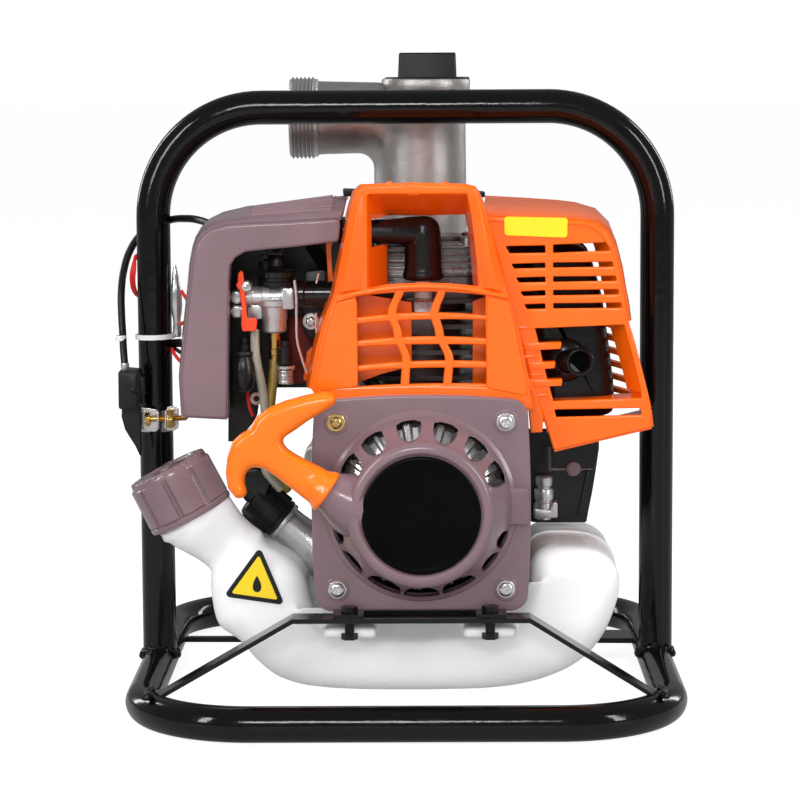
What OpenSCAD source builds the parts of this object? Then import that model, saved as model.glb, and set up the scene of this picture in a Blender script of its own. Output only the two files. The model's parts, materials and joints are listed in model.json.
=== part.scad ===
// Portable petrol fire pump: a four-stroke engine close-coupled to a centrifugal pump, in a
// tubular carrying frame. Units are millimetres. +Z is up, the starter faces -Y (front), the
// pump inlet faces +Y (rear) and -X is the left. Parts are drawn about the point on the ground
// under the middle of the carrying hoop, and centred() then shifts them all along X.

/* [Frame] */
// Outside diameter of the frame tube
tube_d = 19; // [16:0.5:25]
// Wall thickness of the frame tube
tube_t = 1.8; // [1:0.1:3]
// Distance between the two side tubes, centre to centre
frame_w = 283; // [240:1:340]
// Distance between the front and rear bars, centre to centre
frame_l = 317; // [280:1:380]
// Height of the top bar's centre above the ground
hoop_h = 324; // [280:1:380]
// Centre-line radius of every tube bend
bend_r = 61; // [40:1:80]

/* [Engine] */
// Height of the crankshaft above the ground
axis_z = 117; // [100:1:140]
// Sideways position of the crankshaft
axis_x = 8.5; // [-10:0.5:20]
// Cylinder bore diameter
bore_d = 39; // [32:0.5:50]
// Piston stroke
stroke = 26; // [20:1:40]
// Side length of the square starter plate
starter_w = 114; // [100:1:130]
// Radius of the starter dome at its foot
dome_r = 49; // [40:0.5:55]

/* [Pump] */
// Outside diameter of the hose threads
thread_d = 47.8; // [30:0.1:65]
// Length of the hose threads
thread_l = 16; // [10:1:30]
// Impeller diameter
impeller_d = 84; // [60:1:100]
// Height of the outlet's centre above the ground
outlet_z = 317; // [290:1:330]

/* [Fittings] */
// Fuel cap diameter
cap_d = 46; // [36:0.5:60]

/* [Hidden] */
$fn = 48;

// Frame
tube_r = tube_d / 2;
half_w = frame_w / 2;
half_l = frame_l / 2;
fit_gap = 0.02;
left_reach = 163.6; // the cable socket on the throttle box is the leftmost point
side_shift = (left_reach - half_w - tube_r) / 2;

// Mounting
strap_z = 60; // top of the front strap
strap_t = 2.5;
strap_y = -127;
front_bolt_x = [-29.5, 44.5];
pump_bolt_x = [-16, 33];
pump_bolt_y = 60;

// Tank and oil filler
tank_wall = 2.2;
tank_edge_r = 17;
cap_at = [-116.5, -84, 110];
cap_tilt = 27;
oil_at = [-56, -56, 93];
oil_tilt = 44;

// Starter
plate_y = -118; // plane of the starter plate's front face
screw_inset = 12.5;
screw_offset = starter_w / 2 - screw_inset;
rope_at = [-52, -130, 131];
handle_y = -141;
handle_r = 6.5;

// Engine core
cyl_y = -35;
crank_throw = stroke / 2;
rod_l = 46;
crankpin_z = axis_z + crank_throw;
wrist_z = crankpin_z + rod_l;
shaft_bore_r = 6.03;
plug_x = 10;
plug_y = -70.5;
lead_z = 260.5;

// Intake and exhaust
carb_x = -74.5;
intake_y = -69;
intake_z = 223;
intake_r = 4.8;
choke_x = -84;
choke_z = 231;
port_z = 222; // exhaust port
tail_x = 97; // exhaust tube
tail_z = 190;

// Pump
thread_r = thread_d / 2;
thread_depth = 1.6;
thread_pitch = 2.3;
thread_ridge = 1.5;
thread_lead = 0.4;
column_x = axis_x;
column_y = 52.5;
filler_x = 12;
pipe_r = 20.5;
pipe_bore_r = 17;
outlet_end_x = -68;
inlet_end_y = 136;
casing_r = 64;
cover_y = 81;
bolt_circle_r = 61;
drain_y = 64;

// Throttle pivot on the left leg
pivot_x = -157;
pivot_z = 161;

frame_black = [0.05, 0.05, 0.055];
orange = [1, 0.33, 0.06];
taupe = [0.42, 0.34, 0.36];
cast_grey = [0.68, 0.68, 0.69];
black = [0.07, 0.07, 0.075];
steel = [0.75, 0.75, 0.77];
white = [0.93, 0.93, 0.95];
label_yellow = [0.95, 0.85, 0.05];
filter_grey = [0.2, 0.2, 0.22];
hose_amber = [0.55, 0.45, 0.2];
lever_red = [0.75, 0.12, 0.05];
flap_black = [0.12, 0.12, 0.13];

// ---------------- shared shapes ----------------
module box(at, size) translate(at) cube(size);
// cylinders that start at a point and run along +X, +Y or +Z
module x_cyl(at, r, h) translate(at) rotate([0, 90, 0]) cylinder(r = r, h = h);
module y_cyl(at, r, h) translate(at) rotate([-90, 0, 0]) cylinder(r = r, h = h);
module z_cyl(at, r, h) translate(at) cylinder(r = r, h = h);
// coaxial cylinders along +Z, each [radius, start z, height]
module z_steps(steps) for (s = steps) z_cyl([0, 0, s[1]], s[0], s[2]);

// the crank axis at the given y, turned about that axis
module on_crank(y, angle = 0) translate([axis_x, y, axis_z]) rotate([0, angle, 0]) children();
module crank_cyl(r, y0, y1) on_crank(y0) rotate([-90, 0, 0]) cylinder(r = r, h = y1 - y0);
module crank_cone(r1, r2, y, h) on_crank(y) rotate([-90, 0, 0]) cylinder(r1 = r1, r2 = r2, h = h);
// cylinders on the crank axis, each [radius, start y, end y]
module crank_steps(steps) for (s = steps) crank_cyl(s[0], s[1], s[2]);

// rounded rectangle in X and Y, extruded up
module rounded_plate(w, l, h, r) linear_extrude(h) union() {
  square([w - 2 * r, l], center = true);
  square([w, l - 2 * r], center = true);
  for (x = [-1, 1], y = [-1, 1]) translate([x * (w / 2 - r), y * (l / 2 - r)]) circle(r);
}
// outline of [x, z] points, extruded from y0 to y1
module front_plate(outline, y0, y1)
  translate([0, y1, 0]) rotate([90, 0, 0]) linear_extrude(y1 - y0) polygon(outline);
module rod(start, end, r) {
  span = end - start;
  length = norm(span);
  translate(start) rotate([0, acos(span[2] / length), atan2(span[1], span[0])])
    cylinder(r = r, h = length);
}
// round-ended rod through a list of points
module bent_rod(points, r) for (i = [0:len(points) - 2])
  hull() for (p = [points[i], points[i + 1]]) translate(p) sphere(r, $fn = 16);
// places children at a point with their +Z leaning to the left
module leaning(at, tilt) translate(at) rotate([0, -tilt, 0]) children();

// ---------------- frame ----------------
// x side, y side and start angle of each corner bend
loop_corners = [[1, 1, 0], [-1, 1, 90], [-1, -1, 180], [1, -1, 270]];

module tube_bend(r) rotate_extrude(angle = 90) translate([bend_r, 0]) circle(r);
module loop_tube(r) {
  for (s = [-1, 1]) {
    translate([s * half_w, 0, tube_r]) rotate([90, 0, 0])
      cylinder(r = r, h = frame_l - 2 * bend_r, center = true);
    translate([0, s * half_l, tube_r]) rotate([0, 90, 0])
      cylinder(r = r, h = frame_w - 2 * bend_r, center = true);
  }
  for (c = loop_corners)
    translate([c[0] * (half_w - bend_r), c[1] * (half_l - bend_r), tube_r])
      rotate([0, 0, c[2]]) tube_bend(r);
}
module base_loop() color(frame_black) difference() {
  loop_tube(tube_r);
  loop_tube(tube_r - tube_t);
  for (s = [-1, 1]) z_cyl([s * half_w, 0, tube_r], 3, tube_d);
}
module hoop_tube(r) {
  for (s = [-1, 1]) {
    z_cyl([s * half_w, 0, tube_r], r, hoop_h - bend_r - tube_r);
    translate([s * (half_w - bend_r), 0, hoop_h - bend_r])
      rotate([90, s > 0 ? 0 : -90, 0]) tube_bend(r);
  }
  translate([0, 0, hoop_h]) rotate([0, 90, 0])
    cylinder(r = r, h = frame_w - 2 * bend_r, center = true);
}
module hoop() color(frame_black) difference() {
  hoop_tube(tube_r);
  hoop_tube(tube_r - tube_t);
  loop_tube(tube_r + fit_gap);
}

// ---------------- mounting ----------------
// x, z; both ends slope down to the side tubes
strap_outline = [
  [-133, 15], [-59, strap_z - strap_t], [65, strap_z - strap_t], [133, 15],
  [133, 17.5], [65.6, strap_z], [-59.6, strap_z], [-133, 17.5]];
// x, y
rear_strap_outline = [[-136, 53], [136, 45], [136, 70], [40, 70], [-30, 70], [-90, 57], [-136, 57]];

module front_bolt_holes() for (x = front_bolt_x) z_cyl([x, strap_y, 0], 2.7, 100);
module pump_bolt_holes() for (x = pump_bolt_x) z_cyl([x, pump_bolt_y, 0], 3.3, 40);

module front_strap() color(frame_black) difference() {
  front_plate(strap_outline, strap_y - 8, strap_y + 8);
  loop_tube(tube_r + fit_gap);
  front_bolt_holes();
}
module rear_strap() color(frame_black) difference() {
  translate([0, 0, 9]) linear_extrude(3) polygon(rear_strap_outline);
  loop_tube(tube_r + fit_gap);
  pump_bolt_holes();
}
// upright bolt with a hexagonal head above and nut below
module upright_bolt(z0, z1, r, head_r, head_h) {
  z_cyl([0, 0, z0], r, z1 - z0);
  z_cyl([0, 0, z1], head_r, head_h, $fn = 6);
  z_cyl([0, 0, z0 - head_h], head_r, head_h, $fn = 6);
}
module mount_bolts() color(black) {
  for (x = front_bolt_x) translate([x, strap_y, 0]) upright_bolt(50.9, 62.1, 2.5, 4.4, 3.2);
  for (x = pump_bolt_x) translate([x, pump_bolt_y, 0]) upright_bolt(8.9, 15.1, 3.1, 5.6, 4);
}
// steel foot that carries the crankcase on the strap
module front_foot() color(frame_black) difference() {
  union() {
    box([-38, -134, 60.1], [91, 15.8, 1.9]);
    for (x = [-38, 40]) {
      box([x, -118.9, 57.2], [13, 60, 2]);
      box([x, -118.9, 57.2], [13, 0.8, 4.8]);
    }
    box([-38, -66, 57.2], [91, 34, 2]);
  }
  front_bolt_holes();
  box([-22, -136, 50], [59, 14, 20]);
}
// plate and upright cradle under the pump casing
module pump_foot() color(frame_black) difference() {
  union() {
    box([-22, 46, 12.1], [61, 28, 2.9]);
    for (x = [-10, 23]) box([x, 46, 12.1], [4, 8, 60]);
    box([-10, 46, 12.1], [37, 3, 60]);
  }
  pump_bolt_holes();
  crank_cyl(casing_r + 0.1, 20, 80);
}

// ---------------- tank ----------------
// x, z of the edge centres of the bottom, left and right lobes
tank_lobes = [
  [[-58, 28], [-84, 52], [84, 48], [60, 28], [-20, 28]],
  [[-88, 74], [-84, 52], [-80, 64], [-90, 90]],
  [[84, 48], [97, 72], [93, 86], [88, 80]]];

module tank_lobe(points, r)
  hull() for (p = points, y = [-78, 0]) translate([p[0], y, p[1]]) sphere(r, $fn = 28);
// tank shape, shrunk all round by inset
module tank_solid(inset) for (points = tank_lobes) tank_lobe(points, tank_edge_r - inset);
module oil_room(r) leaning(oil_at, oil_tilt) z_steps([[r, -30, 80]]);
// room for the engine above the low middle of the saddle
module engine_room() box([-64, -110, 48.5], [132, 140, 60]);
module lug_posts() for (x = front_bolt_x) box([x - 9, -97, 36], [18, 14, 21.2]);

module fuel_tank() color(white) difference() {
  union() {
    difference() {
      tank_solid(0);
      engine_room();
      oil_room(13.2);
    }
    leaning(cap_at, cap_tilt) z_steps([[18, -38, 40], [15.5, -10, 27]]);
    for (x = front_bolt_x) box([x - 11, -135.5, 53.2], [22, 45, 4]);
    lug_posts();
  }
  // hollow inside
  difference() {
    tank_solid(tank_wall);
    translate([0, 0, -2.4]) engine_room();
    oil_room(13.2 + tank_wall);
    lug_posts();
  }
  leaning(cap_at, cap_tilt) z_steps([[13.4, -36, 54]]);
  front_bolt_holes();
}
module fuel_cap() color(taupe) leaning(cap_at, cap_tilt) difference() {
  union() {
    z_cyl([0, 0, 2.6], cap_d / 2, 19);
    translate([0, 0, 21.6]) cylinder(r1 = cap_d / 2, r2 = cap_d / 2 - 3, h = 3);
  }
  z_cyl([0, 0, 2], 16, 18.5);
  // grip flutes
  for (i = [0:15]) rotate([0, 0, i * 22.5]) z_cyl([cap_d / 2 + 0.6, 0, 2], 1.5, 20, $fn = 16);
}

// ---------------- starter and fan ----------------
// radius, distance forward of plate_y
dome_outside = [[0, -3], [dome_r, -3], [dome_r, 1], [47.5, 8], [44.5, 16], [40.5, 24],
  [37.5, 29], [36, 32], [0, 32]];
dome_inside = [[0, -5], [45.5, -5], [44.5, 8], [41.5, 16], [37.5, 24], [34, 28.5], [0, 28.5]];
// x, z along the curved grip
grip_path = [[-84, 128], [-92, 140], [-89, 155], [-74, 171], [-57, 175.5], [-36, 175]];

module at_corner_screws(y) for (x = [-1, 1], z = [-1, 1])
  translate([axis_x + x * screw_offset, y, axis_z + z * screw_offset]) children();
module square_plate(w, y, h, r) on_crank(y) rotate([90, 0, 0]) rounded_plate(w, w, h, r);
module dome(profile) on_crank(plate_y) rotate([90, 0, 0]) rotate_extrude() polygon(profile);
// slots on a circle round the crank axis, size in the slot's own x, y and z
module dome_slots(angles, radius, size, inset) for (a = angles)
  translate([axis_x + radius * cos(a), -160, axis_z + radius * sin(a)])
    rotate([0, 90 - a, 0]) box([-size[0] / 2, 0, -inset], size);

module fan_housing() color(black) difference() {
  square_plate(starter_w - 4, -66.2, 33.2, 14);
  crank_steps([[48, -101, -69.5], [12, -101, -60]]);
  at_corner_screws(-101) y_cyl([0, 0, 0], 2.6, 20);
  // open top lets cooling air out to the cylinder fins
  box([axis_x - 33, -97, axis_z + 40], [66, 25, 30]);
}
module recoil_housing() color(taupe) difference() {
  union() {
    square_plate(starter_w, -99.6, 18.2, 9);
    dome(dome_outside);
    // rope guide boss
    box([-36, -138, 122], [12, 22, 18]);
    // side lug
    box([53, -124, 106], [12.4, 8, 22]);
  }
  crank_cyl(46, -114, -99);
  dome(dome_inside);
  at_corner_screws(-130) y_cyl([0, 0, 0], 2.7, 40);
  // badge recess
  crank_cyl(31.2, -150.2, -149);
  // air slots: an arc along the top, then two on each side
  dome_slots([150, 128, 105, 82, 60, 38], 41.5, [11, 70, 7], 3);
  dome_slots([-10, -30, 190, 210], 42.5, [8, 70, 5], 2.5);
  // rope hole
  translate(rope_at) rotate([0, 100, 0]) cylinder(r = 2.6, h = 40);
  x_cyl(rope_at + [4, 0, 0], 5, 10);
  // bottom edge cut flat to clear the strap
  box([-60, -140, 50], [140, 45, 10.4]);
}
module recoil_badge() color(black) crank_cyl(31, -151, -149.1);
module recoil_screws() color(steel) at_corner_screws(plate_y - 0.1) difference() {
  union() {
    y_cyl([0, -1, 0], 4.8, 1);
    translate([0, -1, 0]) rotate([90, 0, 0]) cylinder(r1 = 4.2, r2 = 2.8, h = 2.4);
    y_cyl([0, 0, 0], 2.45, 34);
  }
  // cross recess
  for (a = [45, 135]) rotate([0, a, 0]) box([-2, -4, -0.4], [4, 2, 0.8]);
}
module recoil_spring() color(steel) {
  // coils, as separate rings
  difference() {
    crank_cyl(20, -144, -138);
    for (i = [0:4]) difference() {
      crank_cyl(19.2 - i * 2.6, -145, -137);
      crank_cyl(17.6 - i * 2.6, -146, -136);
    }
    crank_cyl(6, -145, -137);
  }
  // one radial strip joins the coils
  box([axis_x + 6.5, -144, axis_z - 1], [13, 6, 2]);
}
module starter_pulley() color(black) difference() {
  crank_steps([[34, -136.8, -134.8], [28, -136.8, -126], [34, -128, -126], [14, -126, -104]]);
  crank_cyl(5, -137, -103);
  for (a = [0, 120, 240]) on_crank(-108, a) box([9, 0, -3], [8, 6, 6]);
}
module pull_handle() color(orange) {
  bent_rod([for (p = grip_path) [p[0], handle_y, p[1]]], handle_r);
  // stem and collar down to the rope guide
  rod([-76, handle_y, 152], [-46, handle_y, 132.2], handle_r);
  rod([-51, handle_y, 135.5], [-43.8, handle_y, 130.7], 9);
}

// ---------------- covers ----------------
// All outlines are x, z.
shroud_outside = [[-49.5, 176], [-27, 280], [-21, 286], [33, 286], [41.5, 279], [41.8, 262],
  [64, 176]];
shroud_inside = [[-46.5, 175], [-24.2, 279], [-20, 283.3], [32, 283.3], [38.8, 277.5], [39, 262],
  [61, 175]];
shroud_window = [[-9, 231.5], [-9, 268], [-6, 271], [32, 271], [35, 268], [36, 231.5]];
// left x, width, then left shift and added width for each mm below grille_top
grille_columns = [[-26, 19, 0.12, 0], [-1, 18, 0, 0], [23, 21, 0, 0.1]];
grille_top = 230;
muffler_cover_outside = [[42.4, 262.5], [42.4, 277], [92, 275], [105, 268], [112, 256],
  [117, 240], [120, 214], [129, 170], [132, 156], [104, 148], [80, 141], [73, 153], [66.4, 176]];
muffler_cover_inside = [[44.5, 262], [44.5, 274.5], [91, 272.4], [103, 265.6], [109.5, 255],
  [114.5, 239.5], [117.4, 213.6], [126.4, 169.5], [129, 158.3], [103.5, 150.6], [81.5, 144.2],
  [76, 153.5], [69, 176]];
air_cover_outside = [[-120, 163], [-114, 240], [-110, 258], [-100, 270], [-88, 277], [-28, 279],
  [-34.4, 249], [-84, 249], [-91, 242], [-94, 163]];
air_cover_inside = [[-117.4, 162], [-111.4, 240], [-107.6, 257], [-98.5, 268], [-87.4, 274.5],
  [-25, 276.5], [-31, 251.6], [-85, 251.6], [-93.6, 243], [-96.6, 162]];
air_cover_relief = [[-96.7, 160], [-96.7, 243], [-85, 252], [-25, 252], [-25, 160]];
air_base_outline = [[-116, 168], [-110, 240], [-106, 255], [-97, 266], [-87, 272], [-36, 273.5],
  [-36, 200], [-60, 200], [-60, 168]];

module shroud() color(orange) difference() {
  front_plate(shroud_outside, -108, -18);
  front_plate(shroud_inside, -105.4, -17);
  // upper window, then the grille
  front_plate(shroud_window, -109, -104);
  for (c = grille_columns, z = [179, 192, 205, 217]) {
    drop = grille_top - z;
    box([c[0] - drop * c[2], -109, z], [c[1] + drop * c[3], 5, 8.5]);
  }
  // side openings for the intake and exhaust
  for (x = [-60, 35]) box([x, -90, 160], [40, 80, 85]);
  // plug lead hole
  x_cyl([-50, plug_y, lead_z], 7, 30);
}
module muffler_cover() color(orange) difference() {
  front_plate(muffler_cover_outside, -96, -20);
  front_plate(muffler_cover_inside, -93.4, -19);
  // upper slots in two columns, spreading outwards downwards
  for (i = [0:4], span = [[55 + i * 1.2, 70], [77, 108 + i * 0.8]])
    box([span[0], -97, 251 - i * 8.2], [span[1] - span[0], 5, 4.6]);
  // large lower window and the slot below it
  front_plate([[61, 171], [60, 209], [117, 209.5], [121, 171]], -97, -93);
  front_plate([[79, 163], [79, 167], [125, 167.4], [125.6, 163]], -97, -93);
  // slots in the right wall
  for (i = [0:4]) box([112, -88 + i * 12, 180 + i * 3], [20, 6, 26 - i * 2]);
  // open left wall
  box([38, -93.3, 165], [36, 80, 93]);
}
module cover_label() color(label_yellow) box([53, -96.6, 257], [34, 0.5, 11]);
module air_cover() color(taupe) difference() {
  front_plate(air_cover_outside, -95, -22);
  front_plate(air_cover_inside, -92.4, -21);
  // the inner wall stops short so the base plate passes behind it
  front_plate(air_cover_relief, -46.6, -21);
  // band cut in from the front face, sloping down towards the rear
  translate([-130, -95, 256]) rotate([60, 0, 0]) box([0, -20, -30], [110, 20, 60]);
}
module air_base() color(black) difference() {
  front_plate(air_base_outline, -46, -43);
  y_cyl([-48, -60, 218], 6, 30);
  box([-62, -47, 196], [30, 5, 42]);
}
module air_filter() color(filter_grey) translate([-111, -88, 172]) difference() {
  cube([12.6, 41, 58]);
  box([3, 4, 4], [6.6, 38, 50]);
}

// ---------------- carburettor ----------------
module at_carb() translate([carb_x, intake_y, 0]) children();

module carb_body() color(cast_grey) difference() {
  union() {
    box([-84.5, -80, 217], [20, 22, 12]);
    box([-87, -80, 217], [12, 10, 18]);
    at_carb() z_steps([[9, 210, 26]]);
    box([-64.4, -82, 212], [5, 26, 22]);
    x_cyl([-90, intake_y, intake_z], 7, 14);
  }
  x_cyl([-95, intake_y, intake_z], intake_r, 50);
  y_cyl([choke_x, -81, choke_z], 1.55, 4);
  at_carb() z_steps([[4.2, intake_z, 30]]);
}
module carb_top() color(black) at_carb() difference() {
  z_steps([[7, 236.1, 9], [9.4, 236.1, 3.5]]);
  z_steps([[4.3, 235, 8.3], [1.5, 235, 20]]);
}
module throttle_arm() color(steel) at_carb() {
  z_steps([[4.1, 229, 14.2], [1.4, 243, 3], [3.2, 245.3, 1.6]]);
  box([-1.6, -14, 245.3], [3.2, 14, 1.6]);
  z_cyl([0, -12, 246], 1.8, 2.7);
}
module carb_bowl() color(cast_grey) at_carb() {
  z_cyl([0, 0, 199], 9.5, 10.9);
  translate([0, 0, 196]) cylinder(r1 = 7, r2 = 9.5, h = 3);
  z_cyl([0, 0, 190], 3, 6, $fn = 6);
}
module insulator() color(black) difference() {
  x_cyl([-59.3, intake_y, intake_z], 12, 16);
  x_cyl([-60, intake_y, intake_z], intake_r, 20);
}
module fuel_lines() color(hose_amber) bent_rod([[-77, -76, 193.4], [-78, -78, 184],
  [-76, -80, 172], [-74, -84, 150], [-72, -84, 122], [-75, -80, 108.5]], 2.2);
module primer_bulb() color(black) translate([-87.9, -72, 0]) {
  z_steps([[4.2, 181, 17], [4.6, 190, 2.2], [2.4, 197, 10]]);
  translate([0, 0, 181]) sphere(4.2);
}
module choke_lever() color(lever_red) {
  y_cyl([choke_x, -86, choke_z], 4.5, 2);
  box([-85.6, -86, 205], [3.2, 2, 27]);
  box([-85.6, -89, 203], [7, 5, 4.4]);
  y_cyl([choke_x, -85, choke_z], 1.5, 6.5);
}

// ---------------- engine core ----------------
module cylinder_node() color(cast_grey) difference() {
  union() {
    z_cyl([axis_x, cyl_y, 160.1], 25, 60);
    // cooling fins, the upper four wider
    for (i = [0:7]) translate([axis_x, cyl_y, 170 + i * 7])
      rounded_plate(i < 4 ? 68 : 74, 54, 2.6, 8);
    translate([axis_x, cyl_y, 219]) rounded_plate(62, 50, 14, 6);
    box([axis_x - 27, cyl_y - 25, 160.1], [54, 50, 5]);
    // intake port, exhaust port, plug boss
    x_cyl([-42.8, intake_y, intake_z], 9, 16);
    box([-36, -69, 214], [30, 20, 18]);
    box([40, -46, 214], [12, 22, 16]);
    box([0, -79, 204], [20, 26, 10]);
  }
  z_cyl([axis_x, cyl_y, 159], bore_d / 2, 39);
  x_cyl([-44, intake_y, intake_z], intake_r, 30);
  x_cyl([38, cyl_y, port_z], 5, 16);
  z_cyl([plug_x, plug_y, 200], 4.6, 20);
}
module rocker_cover() color(black) translate([axis_x, cyl_y, 233.2]) {
  rounded_plate(60, 48, 3, 6);
  translate([0, 0, 3]) rounded_plate(54, 42, 18, 8);
}
// one crankcase half from y0 to y1, with room for the crank and a sump from sump_y back
module crankcase_half(y0, y1, bores, sump_y) difference() {
  union() {
    crank_cyl(38, y0, y1);
    box([axis_x - 34, y0, 59.6], [68, y1 - y0, 40]);
    box([axis_x - 27, y0, 120], [54, y1 - y0, 39.9]);
  }
  z_cyl([axis_x, cyl_y, 100], 21, 70);
  crank_steps(bores);
  box([axis_x - 30, sump_y, 65], [60, 30, 20]);
}
// bores are the crank room, bearing seat and shaft hole
module crankcase_front() color(cast_grey)
  crankcase_half(-66, -35.1, [[31, -46.5, -30], [14.1, -60.1, -46], [8.2, -70, -40]], -60);
module crankcase_rear() color(cast_grey) difference() {
  crankcase_half(-34.9, -4, [[31, -40, -23.5], [14.1, -24, -9.9], [8.2, -40, 0]], -40);
  // oil filler socket in the left wall
  leaning(oil_at, oil_tilt) z_steps([[9.1, -40, 60]]);
}
module bearings() color(steel) for (y = [-60, -20]) difference() {
  crank_cyl(14, y, y + 10);
  crank_cyl(7.55, y - 1, y + 11);
  // ring groove in each face
  for (face = [y, y + 10]) difference() {
    crank_cyl(11.8, face - 1, face + 1);
    crank_cyl(9.6, face - 2, face + 2);
  }
}
module piston() color(steel) translate([axis_x, cyl_y, wrist_z]) difference() {
  z_cyl([0, 0, 2.5], bore_d / 2 - 0.05, 18);
  z_cyl([0, 0, 2], 17, 13);
  // ring grooves
  for (z = [15, 18]) translate([0, 0, z]) difference() {
    cylinder(r = 21, h = 1);
    cylinder(r = 18, h = 1);
  }
}
module conrod() color(cast_grey) difference() {
  union() {
    y_cyl([axis_x, cyl_y - 3.8, crankpin_z], 10.5, 7.6);
    y_cyl([axis_x, cyl_y - 3.8, wrist_z], 5.5, 7.6);
    box([axis_x - 3.5, cyl_y - 2, crankpin_z + 7], [7, 4, rod_l - 10]);
    // wrist pin
    y_cyl([axis_x, cyl_y - 8, wrist_z], 3.5, 16);
  }
  y_cyl([axis_x, cyl_y - 5, crankpin_z], 6.05, 10);
}
module crankshaft() color(steel) {
  crank_steps([[7.5, -62, -45.4], [6, -98, -62], [7.5, -24.6, -4], [6, -4, 58]]);
  // webs, cut away on both sides of the crankpin
  for (y = [-45.4, -30.8]) difference() {
    crank_cyl(27, y, y + 6.2);
    for (x = [-40, 10.5]) box([axis_x + x, y - 1, axis_z + 9], [29.5, 9, 30]);
  }
  y_cyl([axis_x, -40, crankpin_z], 6, 10);
}
module flywheel() color(cast_grey) difference() {
  union() {
    crank_steps([[45, -82, -72], [12, -94, -72]]);
    // fan blades
    for (i = [0:11]) on_crank(-93, i * 30) box([24, 0, -1.2], [19, 12, 2.4]);
    // starter cup
    difference() {
      crank_cyl(22, -97, -82);
      crank_cyl(19, -98, -90);
    }
  }
  crank_cyl(shaft_bore_r, -99, -70);
}
module spark_plug() color(white) translate([plug_x, plug_y, 0]) {
  z_steps([[4.5, 203, 11], [7, 214.1, 12], [4.4, 226, 16]]);
  z_cyl([0, 0, 214.1], 8, 7, $fn = 6);
}
module plug_boot() color(black) difference() {
  union() {
    translate([plug_x, plug_y, 0]) {
      z_steps([[9.8, 227, 25], [9.6, 250, 9]]);
      translate([0, 0, 259]) sphere(10);
    }
    x_cyl([-37, plug_y, lead_z], 5.6, 47);
  }
  z_cyl([plug_x, plug_y, 225], 4.6, 18);
}
module ignition_coil() color(black) difference() {
  box([-20, -95.5, 166.2], [34, 11.5, 6.4]);
  crank_cyl(46.5, -120, -60);
}
module oil_neck() color(cast_grey) leaning(oil_at, oil_tilt) difference() {
  z_steps([[9, -22, 30], [11.5, 3, 5]]);
  z_steps([[6.5, -24, 34]]);
}
// knob, plug and dipstick
module oil_cap() color(black) leaning(oil_at, oil_tilt) difference() {
  z_steps([[12, 8.2, 17], [6.3, -8, 17], [1.6, -28, 22]]);
  for (i = [0:11]) rotate([0, 0, i * 30]) z_cyl([12.6, 0, 9], 1.6, 18, $fn = 16);
}

// ---------------- exhaust side ----------------
// x, z
bracket_outline = [[47, 105.5], [102.6, 105.5], [104.7, 118], [108, 136], [113.4, 156],
  [114.6, 164], [47, 164]];

module side_bracket() color(black) difference() {
  union() {
    front_plate(bracket_outline, -19, -17);
    y_cyl([94, -22, 122], 4.2, 3);
    box([66, -20.4, 121.2], [38, 1.5, 1.6]);
    // upright ribs, each [x, height]
    for (rib = [[62, 50], [80, 50], [98, 12]]) box([rib[0], -19.9, 107], [1.8, 2, rib[1]]);
  }
  box([30, -40, 90], [16.8, 30, 80]);
}
module muffler() color(black) difference() {
  union() {
    box([53, -86, 173], [54, 60, 76]);
    y_cyl([93, -90, tail_z], 9.5, 5);
  }
  box([56, -83, 176], [48, 54, 70]);
  y_cyl([tail_x, -95, tail_z], 5.6, 20);
  x_cyl([50, cyl_y, port_z], 5, 10);
}
module exhaust_tube() color(steel) difference() {
  y_cyl([tail_x, -93, tail_z], 5.5, 22);
  y_cyl([tail_x, -94, tail_z], 4.4, 24);
}

// ---------------- pump ----------------
module at_cover_bolts(y) for (a = [0:60:300])
  translate([axis_x + bolt_circle_r * cos(a), y, axis_z + bolt_circle_r * sin(a)]) children();
module cover_bolt_cyls(r, y, h) at_cover_bolts(y) y_cyl([0, 0, 0], r, h);
// hose thread along +Z, as separate ridges on a core
module hose_thread() {
  cylinder(r = thread_r - thread_depth, h = thread_l);
  for (i = [0:floor((thread_l - thread_lead - thread_ridge) / thread_pitch)])
    z_cyl([0, 0, thread_lead + i * thread_pitch], thread_r, thread_ridge);
}

module pump_adapter() color(cast_grey) difference() {
  union() {
    crank_cyl(38, -3.9, 2);
    crank_cone(34, 50, 2, 16);
    crank_cyl(60, 18, 23.9);
  }
  crank_cone(24, 40, -5, 23.1);
  crank_cyl(10, 10, 30);
  for (a = [0:90:270]) on_crank(4, a) box([30, 0, -8], [30, 13, 16]);
}
// volute body with the tall column, filler neck and left-facing outlet
module pump_casing() color(cast_grey) difference() {
  union() {
    crank_cyl(casing_r, 24, 80);
    z_cyl([column_x, column_y, axis_z + 40], 26.5, 179);
    z_cyl([filler_x, column_y, 330.8], 25.4, 7.4);
    x_cyl([-60, column_y, outlet_z], pipe_r, 68);
    translate([outlet_end_x, column_y, outlet_z]) rotate([0, 90, 0]) hose_thread();
    cover_bolt_cyls(7.5, 66, 14);
  }
  crank_steps([[50, 30, 81], [13, 20, 40]]);
  z_cyl([column_x, column_y, axis_z + 30], 20, 176);
  z_cyl([filler_x, column_y, 320], 16.2, 30);
  x_cyl([-70, column_y, outlet_z], pipe_bore_r, 76);
  cover_bolt_cyls(3.05, 62, 30);
  z_cyl([axis_x, drain_y, 48], 5.2, 24);
}
module pump_cover() color(cast_grey) difference() {
  union() {
    crank_cyl(casing_r, cover_y, cover_y + 6);
    cover_bolt_cyls(7.5, cover_y, 6);
    crank_cone(40, 30, cover_y + 6, 13);
    crank_cyl(pipe_r, 98, inlet_end_y);
    on_crank(inlet_end_y - thread_l) rotate([-90, 0, 0]) hose_thread();
  }
  crank_steps([[25, 80, 96], [pipe_bore_r, 78, 138]]);
  cover_bolt_cyls(3.3, 78, 20);
}
module cover_gasket() color(black) difference() {
  crank_cyl(57, 80.1, 80.9);
  crank_cyl(50, 79, 82);
  cover_bolt_cyls(4, 79, 3);
}
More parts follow.
